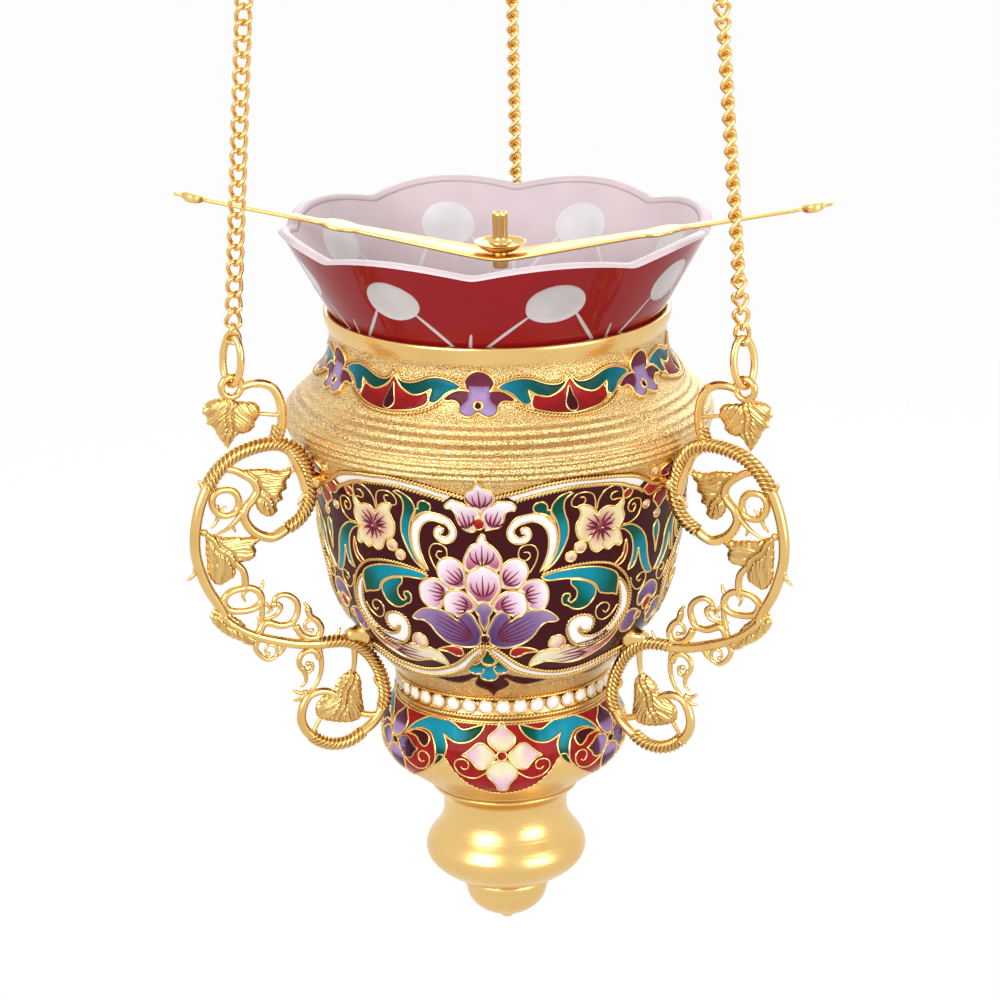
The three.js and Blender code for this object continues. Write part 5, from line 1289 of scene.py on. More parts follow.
LEAVES = [
    ([(63.2, 33.4), (64.4, 32.2), (66.6, 32.2), (68.8, 31.3), (69.3, 29.6), (68.3, 28.3), (68.5, 27.2),
      (67.1, 26.1), (66.2, 24.3), (65.2, 22.7), (64, 21), (63, 22.4), (61.6, 23.8), (59.6, 23.9),
      (57.9, 24.8), (57.6, 26.1), (56.5, 27.4), (56.6, 29.2), (57.8, 30.4), (60.2, 30.9), (62.4, 31.5)],
      (63, 32.5), (64, 21.4)),
    ([(49.7, 14.9), (51.4, 14.5), (53.6, 14.6), (56, 15.4), (58.8, 15.7), (61.8, 15.9), (60.4, 14.2),
      (58.7, 12.4), (57.8, 10.2), (58.2, 7.9), (57, 5.6), (55, 4.5), (53.3, 5.4), (53.4, 7.1), (51.9, 8),
      (52.2, 9.3), (50.9, 10.3), (51, 11.8), (49.9, 12.9)], (59.4, 14), (53.6, 5.4)),
    ([(57.4, 0.7), (59.4, 0.6), (61.4, 0.8), (63.4, 1.3), (66, 1.6), (68.2, 2.5), (70.2, 3.5), (69.8, 1.2),
      (69.9, -1), (69.7, -3.4), (69.7, -5.6), (68.7, -7.9), (67.2, -9.1), (65.2, -8.5), (63.5, -7.5),
      (63.3, -5.9), (62.2, -4.8), (60.6, -4.7), (59, -4.2), (58.5, -2.8), (58.8, -1.4), (57.6, -0.6)],
      (69.6, 2.6), (62.4, -5.8)),
    ([(36.8, -33.6), (38.4, -34.1), (39.8, -35), (40.9, -36.1), (41.1, -37.5), (42.7, -38), (44.2, -38.9),
      (45.5, -40.1), (45.8, -41.8), (45.1, -43.3), (43.4, -44.3), (41.6, -44.9), (39.7, -45.4),
      (37.6, -45.7), (35.7, -45.4), (34.4, -44), (34.5, -42), (34.8, -40), (34.8, -38), (34.9, -36.2),
      (35.6, -34.8)], (37, -34.4), (41, -44.8)),
    ([(68.6, -14.2), (69.5, -15.8), (68.8, -17.6), (67.3, -19.4), (65.2, -21.2), (63, -22.4), (61.1, -23.7),
      (59.2, -23.8), (58.5, -22.5), (60.8, -20.3), (62.7, -17.9), (64.2, -16.7), (65.5, -15.3),
      (67.2, -14.9)], (68, -15.2), (59.6, -23)),
]
BALLS = [(54.8, -15.5, 0.8), (47.3, -30.4, 0.65), (46.2, -22.9, 0.6), (70.2, 3.2, 0.9), (56.6, -26.6, 0.6)]
UPPER_BOSS = [
    (0.02, -1.6), (1.5, -1.6), (1.75, -0.6), (1.5, 0.2), (1.9, 1.0), (1.6, 2.2), (0.9, 2.9), (0.02, 3.1),
]
UPPER_BOSS_AT = (42.9, 11.0)
LOWER_BOSS = [
    (0.02, -0.4), (2.9, -0.4), (2.7, 0.3), (2.0, 1.4), (1.6, 2.4), (1.55, 3.4), (1.2, 4.2), (0.02, 4.4),
]
LOWER_BOSS_AT = (33.75, -25.4)
EYE_R = 2.25
EYE_WIRE_R = 0.78
LOOP_WIRE_R = 0.82
PLANE_SIDE = (0, 1, 0)
ROPE_RELIEF = 0.15
LEAF_GRID = 0.22
LEAF_EDGE = 0.35
LEAF_SWELL = 0.4
LOBE_SWELL = 0.26
MIDRIB = 0.5
FINE_RIB = 0.2
VEIN_SLANT = 0.9
LOBE_PITCH = 3.1
RIB_PITCH = 1.04
RIB_SPACING = 1.1
STRANDS = 5
SCALLOP = 0.16
SCALLOP_PITCH = 1.5


def flat_line(points, step, closed=False):
    """A line in the handle's plane, which is XZ here with +X away from the lamp's axis."""
    line = smooth_line(points, step, closed, sharp=100)
    return np.stack([line[:, 0], np.zeros(len(line)), line[:, 1] + DATUM], -1)


def stem(points, start, end, sides=12, rope=0.0, caps=0.6):
    """A cast stem that tapers from one radius to another; rope is how far its ribs stand out."""
    line = flat_line(points, 0.17 if rope else 0.35)
    radius = np.linspace(start, end, len(line))
    ribs = {"rope": rope, "pitch": RIB_SPACING, "strands": STRANDS}
    return bar(line, radius, radius, PLANE_SIDE, sides, ends=caps, **ribs)


def roped(points, start, end):
    return stem(points, start, end, 30, ROPE_RELIEF)


def ball(x, z, radius):
    """A small ball that closes the end of a stem."""
    rings, steps = 8, 12
    lines = np.linspace(0, math.pi, rings + 1)[1:-1, None]
    turns = np.arange(steps) * 2 * math.pi / steps
    ring = np.stack([
        np.sin(lines) * np.cos(turns), np.sin(lines) * np.sin(turns), np.repeat(np.cos(lines), steps, 1),
    ], -1).reshape(-1, 3)
    corners = np.concatenate([ring, [(0, 0, 1), (0, 0, -1)]]) * radius + [x, 0, z + DATUM]
    k = np.arange(steps)
    n = (k + 1) % steps
    top = np.stack([np.full(steps, len(ring)), k, n], -1)
    last = (rings - 2) * steps
    foot = np.stack([np.full(steps, len(ring) + 1), last + n, last + k], -1)
    return corners, [grid_faces(rings - 1, steps), top, foot]


def leaf(outline, base, tip):
    """A cast vine leaf with a scalloped edge: lobes that swell between deep veins, fine ribs and a midrib."""
    edge = smooth_line(outline, 0.3, True, sharp=75)
    step = np.roll(edge, -1, 0) - np.roll(edge, 1, 0)
    run = np.cumsum(np.hypot(*step.T)) / 2
    turned = np.sum(edge[:, 0] * np.roll(edge[:, 1], -1) - edge[:, 1] * np.roll(edge[:, 0], -1))
    outward = np.stack([step[:, 1], -step[:, 0]], -1) / np.hypot(*step.T)[:, None] * np.sign(turned)
    scallops = round(run[-1] / SCALLOP_PITCH)
    edge = edge + outward * (SCALLOP * np.abs(np.sin(math.pi * scallops * run / run[-1])))[:, None]
    flat, faces, _ = filled(edge, LEAF_GRID)
    far = edge_distance(flat, edge)
    base, tip = np.array(base), np.array(tip)
    length = np.linalg.norm(tip - base)
    way = (tip - base) / length
    down = (flat - base) @ way
    aside = (flat - base) @ np.array([-way[1], way[0]]) + 0.3 * np.sin(down * 1.1)
    slanted = down - np.abs(aside) * VEIN_SLANT
    lobe_at = (slanted + 0.2 * np.sin(aside * 1.7)) / LOBE_PITCH
    lobe_rise = np.abs(np.sin(math.pi * lobe_at)) ** 0.55
    fine_rib = 0.5 + 0.5 * np.cos(2 * math.pi * (slanted - 0.12 * np.sin(down * 2)) / RIB_PITCH)
    inside = 1 - np.exp(-far / 0.5)
    rib = np.exp(-((aside / 0.4) ** 2)) * (down > 0) * np.clip(1.1 - down / length, 0, 1) ** 0.3
    groove = 1 - np.exp(-((np.abs(aside) - 0.75) / 0.3) ** 2) * (1 - rib)
    relief = (LOBE_SWELL * lobe_rise + FINE_RIB * fine_rib) * inside * groove
    swell = LEAF_EDGE * (1 - np.exp(-far / 0.3)) + LEAF_SWELL * (1 - np.exp(-far / 1.3)) * (1 - 0.4 * rib)
    rim = far < 1e-6
    height = np.where(rim, 0.0, swell + np.maximum(relief, MIDRIB * rib * inside))
    lit = np.clip(lobe_rise * (0.55 + 0.45 * fine_rib) * groove, 0, 1)
    lit = np.where(far < 0.3, 1, np.maximum(lit, rib) * 0.6 + 0.4)
    front = np.stack([flat[:, 0], -height, flat[:, 1] + DATUM], -1)
    back = np.stack([flat[:, 0], height, flat[:, 1] + DATUM], -1)
    index = np.arange(len(flat))
    behind = np.where(rim, index, index + len(flat))
    both_faces = [faces, behind[faces][:, ::-1]]
    return np.concatenate([front, back]), both_faces, np.zeros(2 * len(flat)), np.concatenate([lit, lit])


def boss(line, foot):
    """A turned boss that stands out from the body, from (radius, way out) pairs."""
    corners, faces, tones = spun(np.array(line, float)[::-1], 28)
    placed = np.stack([corners[:, 2] + foot[0], corners[:, 1], -corners[:, 0] + foot[1] + DATUM], -1)
    return placed, faces, tones


handle_parts = [
    roped(MAIN_STEM, 1.42, 1.5), stem(OUTER_STEM, 1.22, 1.15, 14), stem(HOOP, 0.95, 1.1),
    roped(HOOP_FOOT, 1.15, 1.25), roped(UPPER_VOLUTE_ROPE, 1.4, 1.35), stem(UPPER_VOLUTE, 1.2, 0.85),
    stem(INNER_CURL, 0.9, 1.15), stem(MIDDLE_STEM, 0.65, 0.85), stem(OPEN_LOOP, 0.95, 0.6),
    stem(BUD, 0.75, 0.85), stem(BRANCH, 0.95, 1.25), roped(LOWER_ROPE, 1.3, 1.35),
    stem(LOWER_VOLUTE, 1.15, 1.15), roped(WRAPPED_PART, 1.35, 1.35), stem(VOLUTE_END, 1.15, 0.7),
]
for loop in (RING_SCROLL, MIDDLE_LOOP):
    handle_parts.append(bar(flat_line(loop, 0.3, True), LOOP_WIRE_R, LOOP_WIRE_R, PLANE_SIDE, 12, True))
handle_parts += [stem(points, start, end, 10, 0, 0.8) for points, start, end in TENDRILS]
handle_parts += [ball(*entry) for entry in BALLS]
eye_turns = np.arange(32) * 2 * math.pi / 32
eye_across, eye_up = EYE[0] + EYE_R * np.cos(eye_turns), EYE[1] + DATUM + EYE_R * np.sin(eye_turns)
eye_circle = np.stack([eye_across, np.zeros(32), eye_up], -1)
handle_parts.append(bar(eye_circle, EYE_WIRE_R, EYE_WIRE_R, PLANE_SIDE, 10, True))
handle_parts += [leaf(*entry) for entry in LEAVES]
boss_parts = [boss(UPPER_BOSS, UPPER_BOSS_AT), boss(LOWER_BOSS, LOWER_BOSS_AT)]
gold_cast = gilding("gilding_cast", 0.2, 0.3, 0.6)
for side, azimuth in HANDLE_TURNS.items():
    vine = all_round(handle_parts, [azimuth - 90])
    piece(f"vine_{side}", vine, gold_cast, "lamp", [f"handle_{side}"])
    bosses = all_round(boss_parts, [azimuth - 90])
    spacers = [f"upper_spacer_{side}", f"lower_spacer_{side}"]
    piece(f"bosses_{side}", bosses, gold_cast, "lamp", spacers)

# Chains: links of drawn brass wire, each bent to an oval and twisted, gilded and polished. Every link bears
# on the next. An oval ring joins the lowest one to the handle's eye, a small ring the topmost to its hook.
EYE_AT = (62.764, 34.3)
LEAN = 4.3
LINKS = 23
LINK_SIDE = 1.425
LINK_TWIST = 1.0
LINK_HALF = 2.1
LINK_PITCH = 3.37
LINK_WIRE_R = 0.5
FIRST_LINK = 11.75
LINK_TURN = 22
LINK_SWING = {"left": -60, "right": -80, "back": -20}
RING_AT = 5.875
RING_SIDE = 2.6
RING_HALF = 5.25
RING_WIRE_R = 0.8
RING_TURNS = {"left": -65, "right": 65, "back": -65}
TOP_RING_AT = 89.665
TOP_RING_R = 3
TOP_RING_WIRE_R = 0.6
TOP_RING_TURN = -44


def hung(part, azimuth, turn, up):
    """Places a part drawn about its own middle on a handle's leaning chain, at a distance above the eye."""
    corners = turn_about(part, turn)[0] + [0, 0, up]
    lean = math.radians(LEAN)
    out = EYE_AT[0] + corners[:, 0] * math.cos(lean) - corners[:, 2] * math.sin(lean)
    height = EYE_AT[1] + DATUM + corners[:, 0] * math.sin(lean) + corners[:, 2] * math.cos(lean)
    return turn_about((np.stack([out, corners[:, 1], height], -1), *part[1:]), azimuth - 90)


link_turns = np.arange(30) * 2 * math.pi / 30
link_line = np.stack([
    LINK_SIDE * np.cos(link_turns), LINK_TWIST * np.sin(2 * link_turns), LINK_HALF * np.sin(link_turns)], -1)
link = bar(link_line, LINK_WIRE_R, LINK_WIRE_R, PLANE_SIDE, 9, True)
ring_turns = np.arange(48) * 2 * math.pi / 48
unit_ring = np.stack([np.cos(ring_turns), np.zeros(48), np.sin(ring_turns)], -1)
lower_ring = bar(unit_ring * [RING_SIDE, 1, RING_HALF], RING_WIRE_R, RING_WIRE_R, PLANE_SIDE, 14, True)
top_ring = bar(unit_ring * TOP_RING_R, TOP_RING_WIRE_R, TOP_RING_WIRE_R, PLANE_SIDE, 10, True)
for side, azimuth in HANDLE_TURNS.items():
    links = []
    for i in range(LINKS):
        swing = LINK_SWING[side] * min(1, i / 4, (LINKS - 1 - i) / 4)
        links.append(hung(link, azimuth, LINK_TURN + swing, FIRST_LINK + LINK_PITCH * i))
    piece(f"links_{side}", links, gold_wire, f"hanging_chain_{side}", [f"chain_{side}"])
    oval = hung(lower_ring, azimuth, RING_TURNS[side], RING_AT)
    piece(f"oval_ring_{side}", [oval], gold_wire, f"ring_low_{side}", [f"lower_ring_{side}"])
    small = hung(top_ring, azimuth, TOP_RING_TURN, TOP_RING_AT)
    piece(f"small_ring_{side}", [small], gold_wire, f"ring_top_{side}", [f"top_ring_{side}"])

# Ceiling hooks: bent brass wire with a turned flange that bears on the ceiling and a wood screw above it.
HOOK_FROM_AXIS = 55.954
HOOK_TURN = 46
HOOK_R = 3.2
HOOK_MIDDLE = -7.7
HOOK_WIRE_R = 1
HOOK_LINE = [(0, -0.75), (0, -1.6), (0, -2.4), (0.3, -3.4), (1.2, -4.2)]
FLANGE_LINE = [
    (0.02, 11.9), (0.7, 10), (1.35, 7.4), (1.4, 0.3), (1.4, 0), (6.35, 0), (6.5, -0.15), (6.5, -0.75),
    (6.2, -1.1), (4.2, -1.5), (2.2, -1.9), (1.6, -2.3), (0.02, -2.3),
]
THREAD_PITCH = 1.3
THREAD_DEPTH = 0.28
bend = np.radians(np.linspace(45, -200, 40))
hook_bend = np.stack([HOOK_R * np.cos(bend), HOOK_MIDDLE + HOOK_R * np.sin(bend)], -1)
hook_line = smooth_line(np.concatenate([HOOK_LINE, hook_bend]), 0.4, sharp=120)
hook_path = np.stack([hook_line[:, 0], np.zeros(len(hook_line)), hook_line[:, 1]], -1)
hook_bar = bar(hook_path, HOOK_WIRE_R, HOOK_WIRE_R, PLANE_SIDE, 12, ends=0.8)
screw_heights = np.linspace(9.8, 0.6, 70)
thread = THREAD_DEPTH * (0.5 + 0.5 * np.cos(2 * math.pi * screw_heights / THREAD_PITCH)) ** 2
screw = np.stack([np.interp(screw_heights, [0, 7.4, 10], [1.4, 1.35, 0.7]) - thread, screw_heights], -1)
flange = spun(np.concatenate([FLANGE_LINE[:1], screw, FLANGE_LINE[3:]]), 40)
brass_dull = gilding("brass_plain", 0.42, 0.05, 0.5)
for side, azimuth in HANDLE_TURNS.items():
    standing = []
    for part in (hook_bar, flange):
        turned = turn_about(part, HOOK_TURN)
        standing.append(turn_about((turned[0] + [HOOK_FROM_AXIS, 0, 0], *part[1:]), azimuth - 90))
    piece(f"hook_{side}", standing, brass_dull, "ceiling", [f"ceiling_hook_{side}"])

# Glass cup: thick blown glass cased red outside and frosted inside, its rim ground into eight lobes. Round
# lenses and straight rays are cut through the red. It hangs in the body by its flare.
LOBES = 8
GLASS_TURN = -2
SEAT_R, SEAT_Z = 36.5, 44.5
RIM_R, RIM_Z = 46.0, 61.5
LOBE_RISE = 2.6
FLARE = (RIM_R - SEAT_R) / (RIM_Z - SEAT_Z)
LENS_Z = 54.6
LENS_HALF = 6.5
LENS_UP = 5.2
RAY = ((4.9, 52.0), (11.8, 43.2), 0.3)
SPIKE = ((0, 47.8), (0, 41), 0.25)
CUT_DEPTH = 0.34
CUT_SLIPS_AT, CUT_SLIPS = (0, 22.5, 45, 67.5, 90, 180, 315, 337.5, 360), (0, -1.5, 0, 1.3, 0, 0, 0, 3.5, 0)
FOOT_SLIPS_AT, FOOT_SLIPS = (0, 12, 30, 45, 180, 345, 360), (2.7, 2.7, 0, 0, 0, 2.7, 2.7)
COLUMNS = 112
ROWS = 84
NO_CUT = -1.5
UNDER_LIP = [
    (36.5, 44.5), (33.2, 38), (29, 31.5), (25.5, 25), (24, 16.5), (23, 4.5), (22.2, -1), (20, -3),
    (17, -3.5), (0.05, -3.5),
]
INSIDE = [(34, 44.5), (30.8, 38), (26.6, 31.5), (23, 25), (21.6, 16.5), (20.6, 4.8), (10, 2.6), (0.05, 0.5)]


def lobe(turns):
    """How far the rim rises over its notches at each turn, from 0 to 1."""
    return (np.sin(np.radians(turns) * LOBES / 2) ** 2 + 0.012) ** 0.42


def cut_depth(turns, heights, radii):
    """How far inside a cut a place lies, in mm; negative outside it."""
    step = 360 / LOBES
    turns = turns + np.interp(heights, [44, 54], [0, 1]) * np.interp(turns % 360, CUT_SLIPS_AT, CUT_SLIPS)
    turns = turns + np.interp(heights, [44, 54], [1, 0]) * np.interp(turns % 360, FOOT_SLIPS_AT, FOOT_SLIPS)
    across = np.radians(np.abs(turns % step - step / 2)) * radii
    slant = (heights - LENS_Z) / math.cos(math.atan(FLARE))
    inside = (1 - np.hypot(across / LENS_HALF, slant / LENS_UP)) * LENS_UP
    from_notch = math.radians(step / 2) * radii - across
    for (start, end, width), aside in ((RAY, across), (SPIKE, from_notch)):
        way = np.array(end, float) - start
        t = ((aside - start[0]) * way[0] + (heights - start[1]) * way[1]) / (way @ way)
        off = np.hypot(aside - start[0] - way[0] * t, heights - start[1] - way[1] * t)
        swell = width * np.sqrt(np.clip(1 - (2 * t - 1) ** 2, 0, 1)) + 0.1
        inside = np.maximum(inside, np.where((t > 0) & (t < 1), swell - off, -0.2))
    return np.clip(inside, NO_CUT, 4)


def glass_skin(line_at, count, inward):
    """A skin of the cup from its rim down; line_at gives radius and height for a row at each turn."""
    turns = np.arange(LOBES * COLUMNS) * 360 / (LOBES * COLUMNS)
    corners, cuts = [], []
    for row in range(count):
        radii, heights, depth = line_at(row, turns)
        turned = np.radians(turns + GLASS_TURN)
        corners.append(np.stack([radii * np.sin(turned), -radii * np.cos(turned), heights + DATUM], -1))
        cuts.append(depth)
    faces = grid_faces(count, len(turns))
    return np.concatenate(corners), faces[:, ::-1] if inward else faces, np.concatenate(cuts)


def level_row(place, turns):
    """A plain row of the skin, from its radius and height."""
    return tuple(np.full(len(turns), value) for value in (*place, NO_CUT))


under_lip = smooth_line(UNDER_LIP, 1.6)
well = smooth_line(INSIDE, 1.6)


def outer_row(row, turns):
    """A row of the red outside: cut down to the seat in the body, plain below it."""
    top = RIM_Z + LOBE_RISE * lobe(turns) - 0.9
    if row < ROWS:
        heights = top + (SEAT_Z - top) * row / (ROWS - 1)
        radii = SEAT_R + FLARE * (heights - SEAT_Z)
        depth = cut_depth(turns, heights, radii)
        sunk = CUT_DEPTH * np.clip(depth / 0.9, 0, 1) ** 0.6
        return radii - sunk * 0.86, heights + sunk * 0.5, depth
    return level_row(under_lip[row - ROWS + 1], turns)


RIM_PROFILE = [
    (0, -0.9), (-0.1, -0.55), (-0.45, -0.25), (-0.9, -0.08), (-1.5, 0), (-2.1, -0.12), (-2.5, -0.55),
    (-2.8, -1.3),
]


def inner_row(row, turns):
    """A row of the frosted inside: over the rounded rim, down behind the cuts, and plain below the seat."""
    top = RIM_Z + LOBE_RISE * lobe(turns)
    if row < len(RIM_PROFILE):
        out, up = RIM_PROFILE[row]
        return SEAT_R + FLARE * (top - SEAT_Z) + out, top + up, np.full(len(turns), NO_CUT)
    low = row - len(RIM_PROFILE)
    top = top - 1.3
    if low < ROWS:
        heights = top + (SEAT_Z - top) * low / (ROWS - 1)
        start = SEAT_R + FLARE * (top + 1.3 - SEAT_Z) - 2.75
        radii = 34 + (start - 34) * (heights - SEAT_Z) / (top - SEAT_Z)
        return radii, heights, cut_depth(turns, heights + 0.4, radii + 2.2)
    return level_row(well[low - ROWS + 1], turns)


def glass(name, colour, cut_colour, roughness, cut_roughness, gloss):
    """Cased glass, with another colour and polish where it is cut."""
    made = Finish(name, Roughness=roughness, IOR=1.5, Specular_IOR_Level=gloss)
    cut = made.read("tone").between(-0.06, 0.06)
    # The noise paints shade and reflections in patches: it darkens the red and the cut colour here and there.
    sheen = made.noise(60, 3)
    shade = made.blend(sheen.between(0.3, 0.8), cut_colour, tuple(c * 0.72 for c in cut_colour))
    base = made.blend(sheen.between(0.35, 0.75) * 0.35, colour, tuple(c * 0.7 for c in colour))
    made.wear(Base_Color=made.blend(cut, base, shade))
    made.wear(Roughness=roughness + cut * (cut_roughness - roughness))
    made.relief(made.noise(30, 2), 0.25)
    return made


red_case = glass("glass_red", (0.235, 0.007, 0.009), (0.50, 0.46, 0.46), 0.07, 0.16, 0.12)
frosted = glass("glass_frosted", (0.70, 0.585, 0.615), (0.84, 0.82, 0.83), 0.38, 0.3, 0.2)
outside = glass_skin(outer_row, ROWS + len(under_lip) - 1, False)
inside = glass_skin(inner_row, len(RIM_PROFILE) + ROWS + len(well) - 1, True)
piece("glass_case", [outside], red_case, "glass", ["glass_cup"])
piece("glass_inside", [inside], frosted, "glass")

# Wick holder: a flat brass bar that dips to its hub, with a pressed dish and a drawn tube for the wick there.
# All three are gilded.
WICK_TURN = -4
WICK_SHIFT = 0.9
HUB_Z = 54.97
SLOPE = 0.181
STRIP = [
    (0, 4.9), (5, 4.85), (9, 4.6), (14, 4.1), (20, 3.55), (27, 3.0), (31.6, 2.7), (32.6, 3.2), (34, 3.95),
    (36, 4.1), (37.6, 3.6), (38.8, 2.2), (40.2, 1.65), (45, 1.55), (56, 1.45), (64.9, 1.4),
]
BEAD_AT = 67.7
BEAD_HALF = 2.25
PIN_TIP = 72


def bent(flat, up):
    """A place on the wick bar from (along, across) and a height over its underside."""
    flat = np.asarray(flat, float)
    dip = np.sqrt(flat[:, 0] ** 2 + 6.0) - math.sqrt(6.0)
    thick = 1 + 1.5 * np.sqrt(np.clip(1 - ((np.abs(flat[:, 0]) - BEAD_AT) / (BEAD_HALF + 0.2)) ** 2, 0, 1))
    up = (up - 0.35) * thick + 0.35
    x, y = flat[:, 0] + WICK_SHIFT, flat[:, 1]
    return turn_about((np.stack([x, y, HUB_Z + 0.35 + SLOPE * dip + up + DATUM], -1),), WICK_TURN)[0]


half_line = smooth_line(STRIP, 0.7, sharp=170)
bead_turns = np.radians(np.linspace(152, 8, 17))
bead_line = np.stack([BEAD_AT - BEAD_HALF * np.cos(bead_turns), BEAD_HALF * np.sin(bead_turns)], -1)
pin_line = smooth_line([(BEAD_AT + 2.3, 0.7), (71.2, 0.55), (71.8, 0.4), (PIN_TIP, 0.12)], 0.3)
half_line = np.concatenate([half_line, bead_line, pin_line])
half_line = half_line[np.argsort(half_line[:, 0], kind="stable")]
half_line = np.concatenate([half_line[half_line[:, 0] > 0][::-1] * [-1, 1], half_line])
SECTION = [
    (-1, 0.12), (-0.97, 0.0), (0.97, 0.0), (1, 0.12), (1, 0.56), (0.96, 0.7), (-0.96, 0.7), (-1, 0.56),
]
corners = np.stack([bent(half_line * [1, share], np.full(len(half_line), up)) for share, up in SECTION], 1)
count, sides = corners.shape[:2]
first_end = np.arange(sides)[None, ::-1]
last_end = (np.arange(sides) + (count - 1) * sides)[None]
strip_faces = np.roll(grid_faces(count, sides)[:, ::-1], 1, 1)
strip = (corners.reshape(-1, 3), [strip_faces, first_end, last_end])
gold_pale = gilding("gilding_pale", 0.3, 0.03, 0.15)
piece("wick_bar", [strip], gold_pale, "wick_holder", ["wick_strip"])
DISH_LINE = [
    (1.75, 0.55), (2.2, 0.45), (3.2, 0.62), (4.4, 1.15), (5.3, 1.75), (5.62, 1.95), (5.7, 1.8), (5.2, 1.2),
    (4, 0.35), (3, -0.1), (1.75, -0.12),
]
TUBE_LINE = [
    (1.2, 8.25), (1.35, 8.35), (1.62, 8.3), (1.7, 8.1), (1.7, 2.9), (1.85, 2.4), (2.5, 1.95), (2.6, 1.6),
    (2.5, 1.35), (1.7, 1.2), (1.7, -3.7), (1.6, -3.85), (1.15, -3.85), (1.12, 0), (1.12, 6),
]
HUB_TOP = HUB_Z + 1.9
hub = turn_about((np.array([[WICK_SHIFT, 0, 0]]),), WICK_TURN)[0]
for name, node, outline, step in (
        ("wick_saucer", "wick_dish", DISH_LINE, 0.25), ("wick_pipe", "wick_tube", TUBE_LINE, 0.5)):
    corners, faces, _ = spun(smooth_line(outline, step) + [0, HUB_TOP + DATUM], 40, closed=True)
    piece(name, [(corners + hub, faces)], gold_wire, "wick_holder", [node])

# Fasteners inside the body: the tie rod with its washer and nut, and the nuts on the handles' studs. They are
# turned from plain brass and left dull, with fine lines from the lathe.
brass_turned = gilding("brass_turned", 0.44, 0.03, 0.6, 0.2)
FASTENERS = ["tie_rod", "rod_washer", "rod_nut"]
for side in HANDLE_TURNS:
    FASTENERS += [f"handle_nut_upper_{side}", f"handle_nut_lower_{side}"]
for name in FASTENERS:
    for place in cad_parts[name].material_slots:
        place.material = brass_turned.material

# Stage: a pale floor far below the hanging lamp and a white studio round it, with soft light from all sides.
# The camera looks down on the lamp a little, and a touch from its right.
FLOOR_DROP = -0.42
FLOOR_REACH = 3.0
FLOOR_GLOW = 0.96
CAMERA_PITCH = 17.2
CAMERA_TURN = 4.5
CAMERA_ROLL = 0.95
CAMERA_DISTANCE = 0.8
CAMERA_SHIFT = -0.0001
FOCAL = 3.61 * 36
PALE = (0.86, 0.855, 0.85)
SOFT_LIGHT = 0.55

floor_finish = Finish("floor_paper", Base_Color=PALE, Roughness=0.9)


def shown(finish):
    """1 where a ray comes from the camera, or by way of polished metal or clear glass."""
    rays = finish.add("ShaderNodeLightPath", {}, {}).outputs
    seen = Amount(finish, rays["Is Camera Ray"]) + Amount(finish, rays["Is Glossy Ray"])
    return seen + Amount(finish, rays["Is Transmission Ray"])


glow = floor_finish.add("ShaderNodeEmission", {}, {"Color": (1, 1, 1), "Strength": 1.0})
mixed = floor_finish.add("ShaderNodeMixShader", {}, {})
floor_finish.put(mixed.inputs[0], shown(floor_finish).between(0, 1) * FLOOR_GLOW)
floor_finish.put(mixed.inputs[1], floor_finish.shader.outputs[0])
floor_finish.put(mixed.inputs[2], glow.outputs[0])
floor_finish.put(floor_finish.out.inputs["Surface"], mixed.outputs[0])
paper = bpy.data.meshes.new("floor")
corner_signs = ((-1, -1), (1, -1), (1, 1), (-1, 1))
floor_corners = [(x * FLOOR_REACH, y * FLOOR_REACH, FLOOR_DROP) for x, y in corner_signs]
paper.from_pydata(floor_corners, [], [(0, 1, 2, 3)])
paper.materials.append(floor_finish.material)
floor = bpy.data.objects.new("floor", paper)
bpy.context.scene.collection.objects.link(floor)

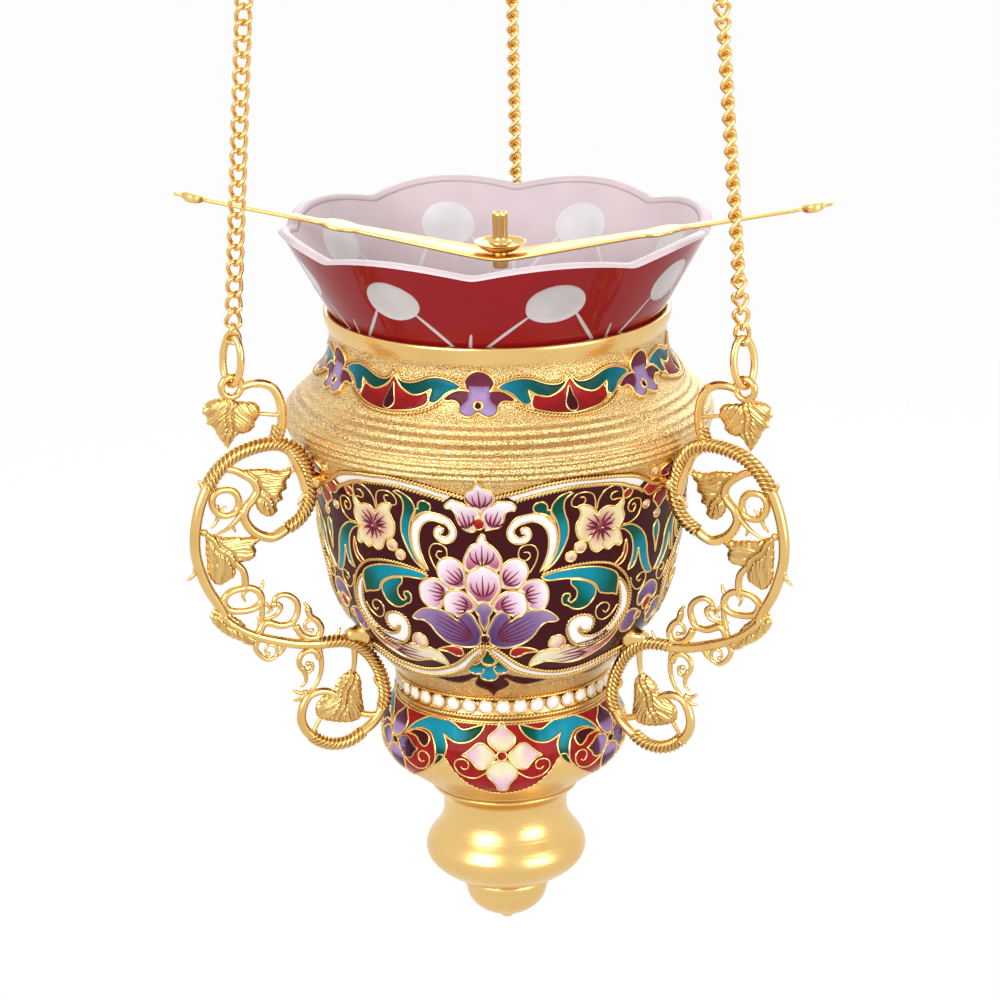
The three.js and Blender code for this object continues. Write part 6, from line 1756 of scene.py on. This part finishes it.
world = bpy.data.worlds.new("studio")
bpy.context.scene.world = world
world.use_nodes = True
tree = world.node_tree
tree.nodes.clear()
air = tree.nodes.new("ShaderNodeOutputWorld")
path = tree.nodes.new("ShaderNodeLightPath")
choose = tree.nodes.new("ShaderNodeMixShader")
ray = path.outputs["Is Camera Ray"]
for kind in ("Is Glossy Ray", "Is Transmission Ray"):
    either = tree.nodes.new("ShaderNodeMath")
    either.operation = "MAXIMUM"
    tree.links.new(ray, either.inputs[0])
    tree.links.new(path.outputs[kind], either.inputs[1])
    ray = either.outputs[0]
tree.links.new(ray, choose.inputs[0])
for socket, strength in ((1, SOFT_LIGHT), (2, 1.0)):
    white_air = tree.nodes.new("ShaderNodeBackground")
    white_air.inputs["Color"].default_value = (1, 1, 1, 1)
    white_air.inputs["Strength"].default_value = strength
    tree.links.new(white_air.outputs[0], choose.inputs[socket])
tree.links.new(choose.outputs[0], air.inputs["Surface"])

LAMPS = [
    ("key", (-0.55, -0.9, 0.35), 0.7, 9.0),
    ("fill", (0.8, -0.6, 0.05), 0.6, 5.0),
    ("back", (0.1, 0.9, 0.4), 0.9, 6.0),
]
for name, spot, size, power in LAMPS:
    light = bpy.data.lights.new(name, "AREA")
    light.size = size
    light.energy = power
    lamp = bpy.data.objects.new(name, light)
    bpy.context.scene.collection.objects.link(lamp)
    lamp.location = spot
    aim = Vector((0, 0, DATUM * MM)) - Vector(spot)
    lamp.rotation_euler = aim.to_track_quat("-Z", "Y").to_euler()

pitch, turn = math.radians(CAMERA_PITCH), math.radians(CAMERA_TURN)
towards = Vector((-math.sin(turn) * math.cos(pitch), math.cos(turn) * math.cos(pitch), -math.sin(pitch)))
sideways = Vector((math.cos(turn), math.sin(turn), 0))
upwards = sideways.cross(towards)
camera_data = bpy.data.cameras.new("camera")
camera_data.sensor_width = 36
camera_data.lens = FOCAL
camera = bpy.data.objects.new("camera", camera_data)
bpy.context.scene.collection.objects.link(camera)
roll = math.radians(CAMERA_ROLL)
right_edge = sideways * math.cos(roll) - upwards * math.sin(roll)
top_edge = upwards * math.cos(roll) + sideways * math.sin(roll)
spot = Vector((0, 0, DATUM * MM)) - towards * CAMERA_DISTANCE + sideways * CAMERA_SHIFT
camera.matrix_world = Matrix((
    (right_edge.x, top_edge.x, -towards.x, spot.x),
    (right_edge.y, top_edge.y, -towards.y, spot.y),
    (right_edge.z, top_edge.z, -towards.z, spot.z),
    (0, 0, 0, 1),
))
bpy.context.scene.camera = camera
bpy.context.scene.view_settings.view_transform = "Standard"
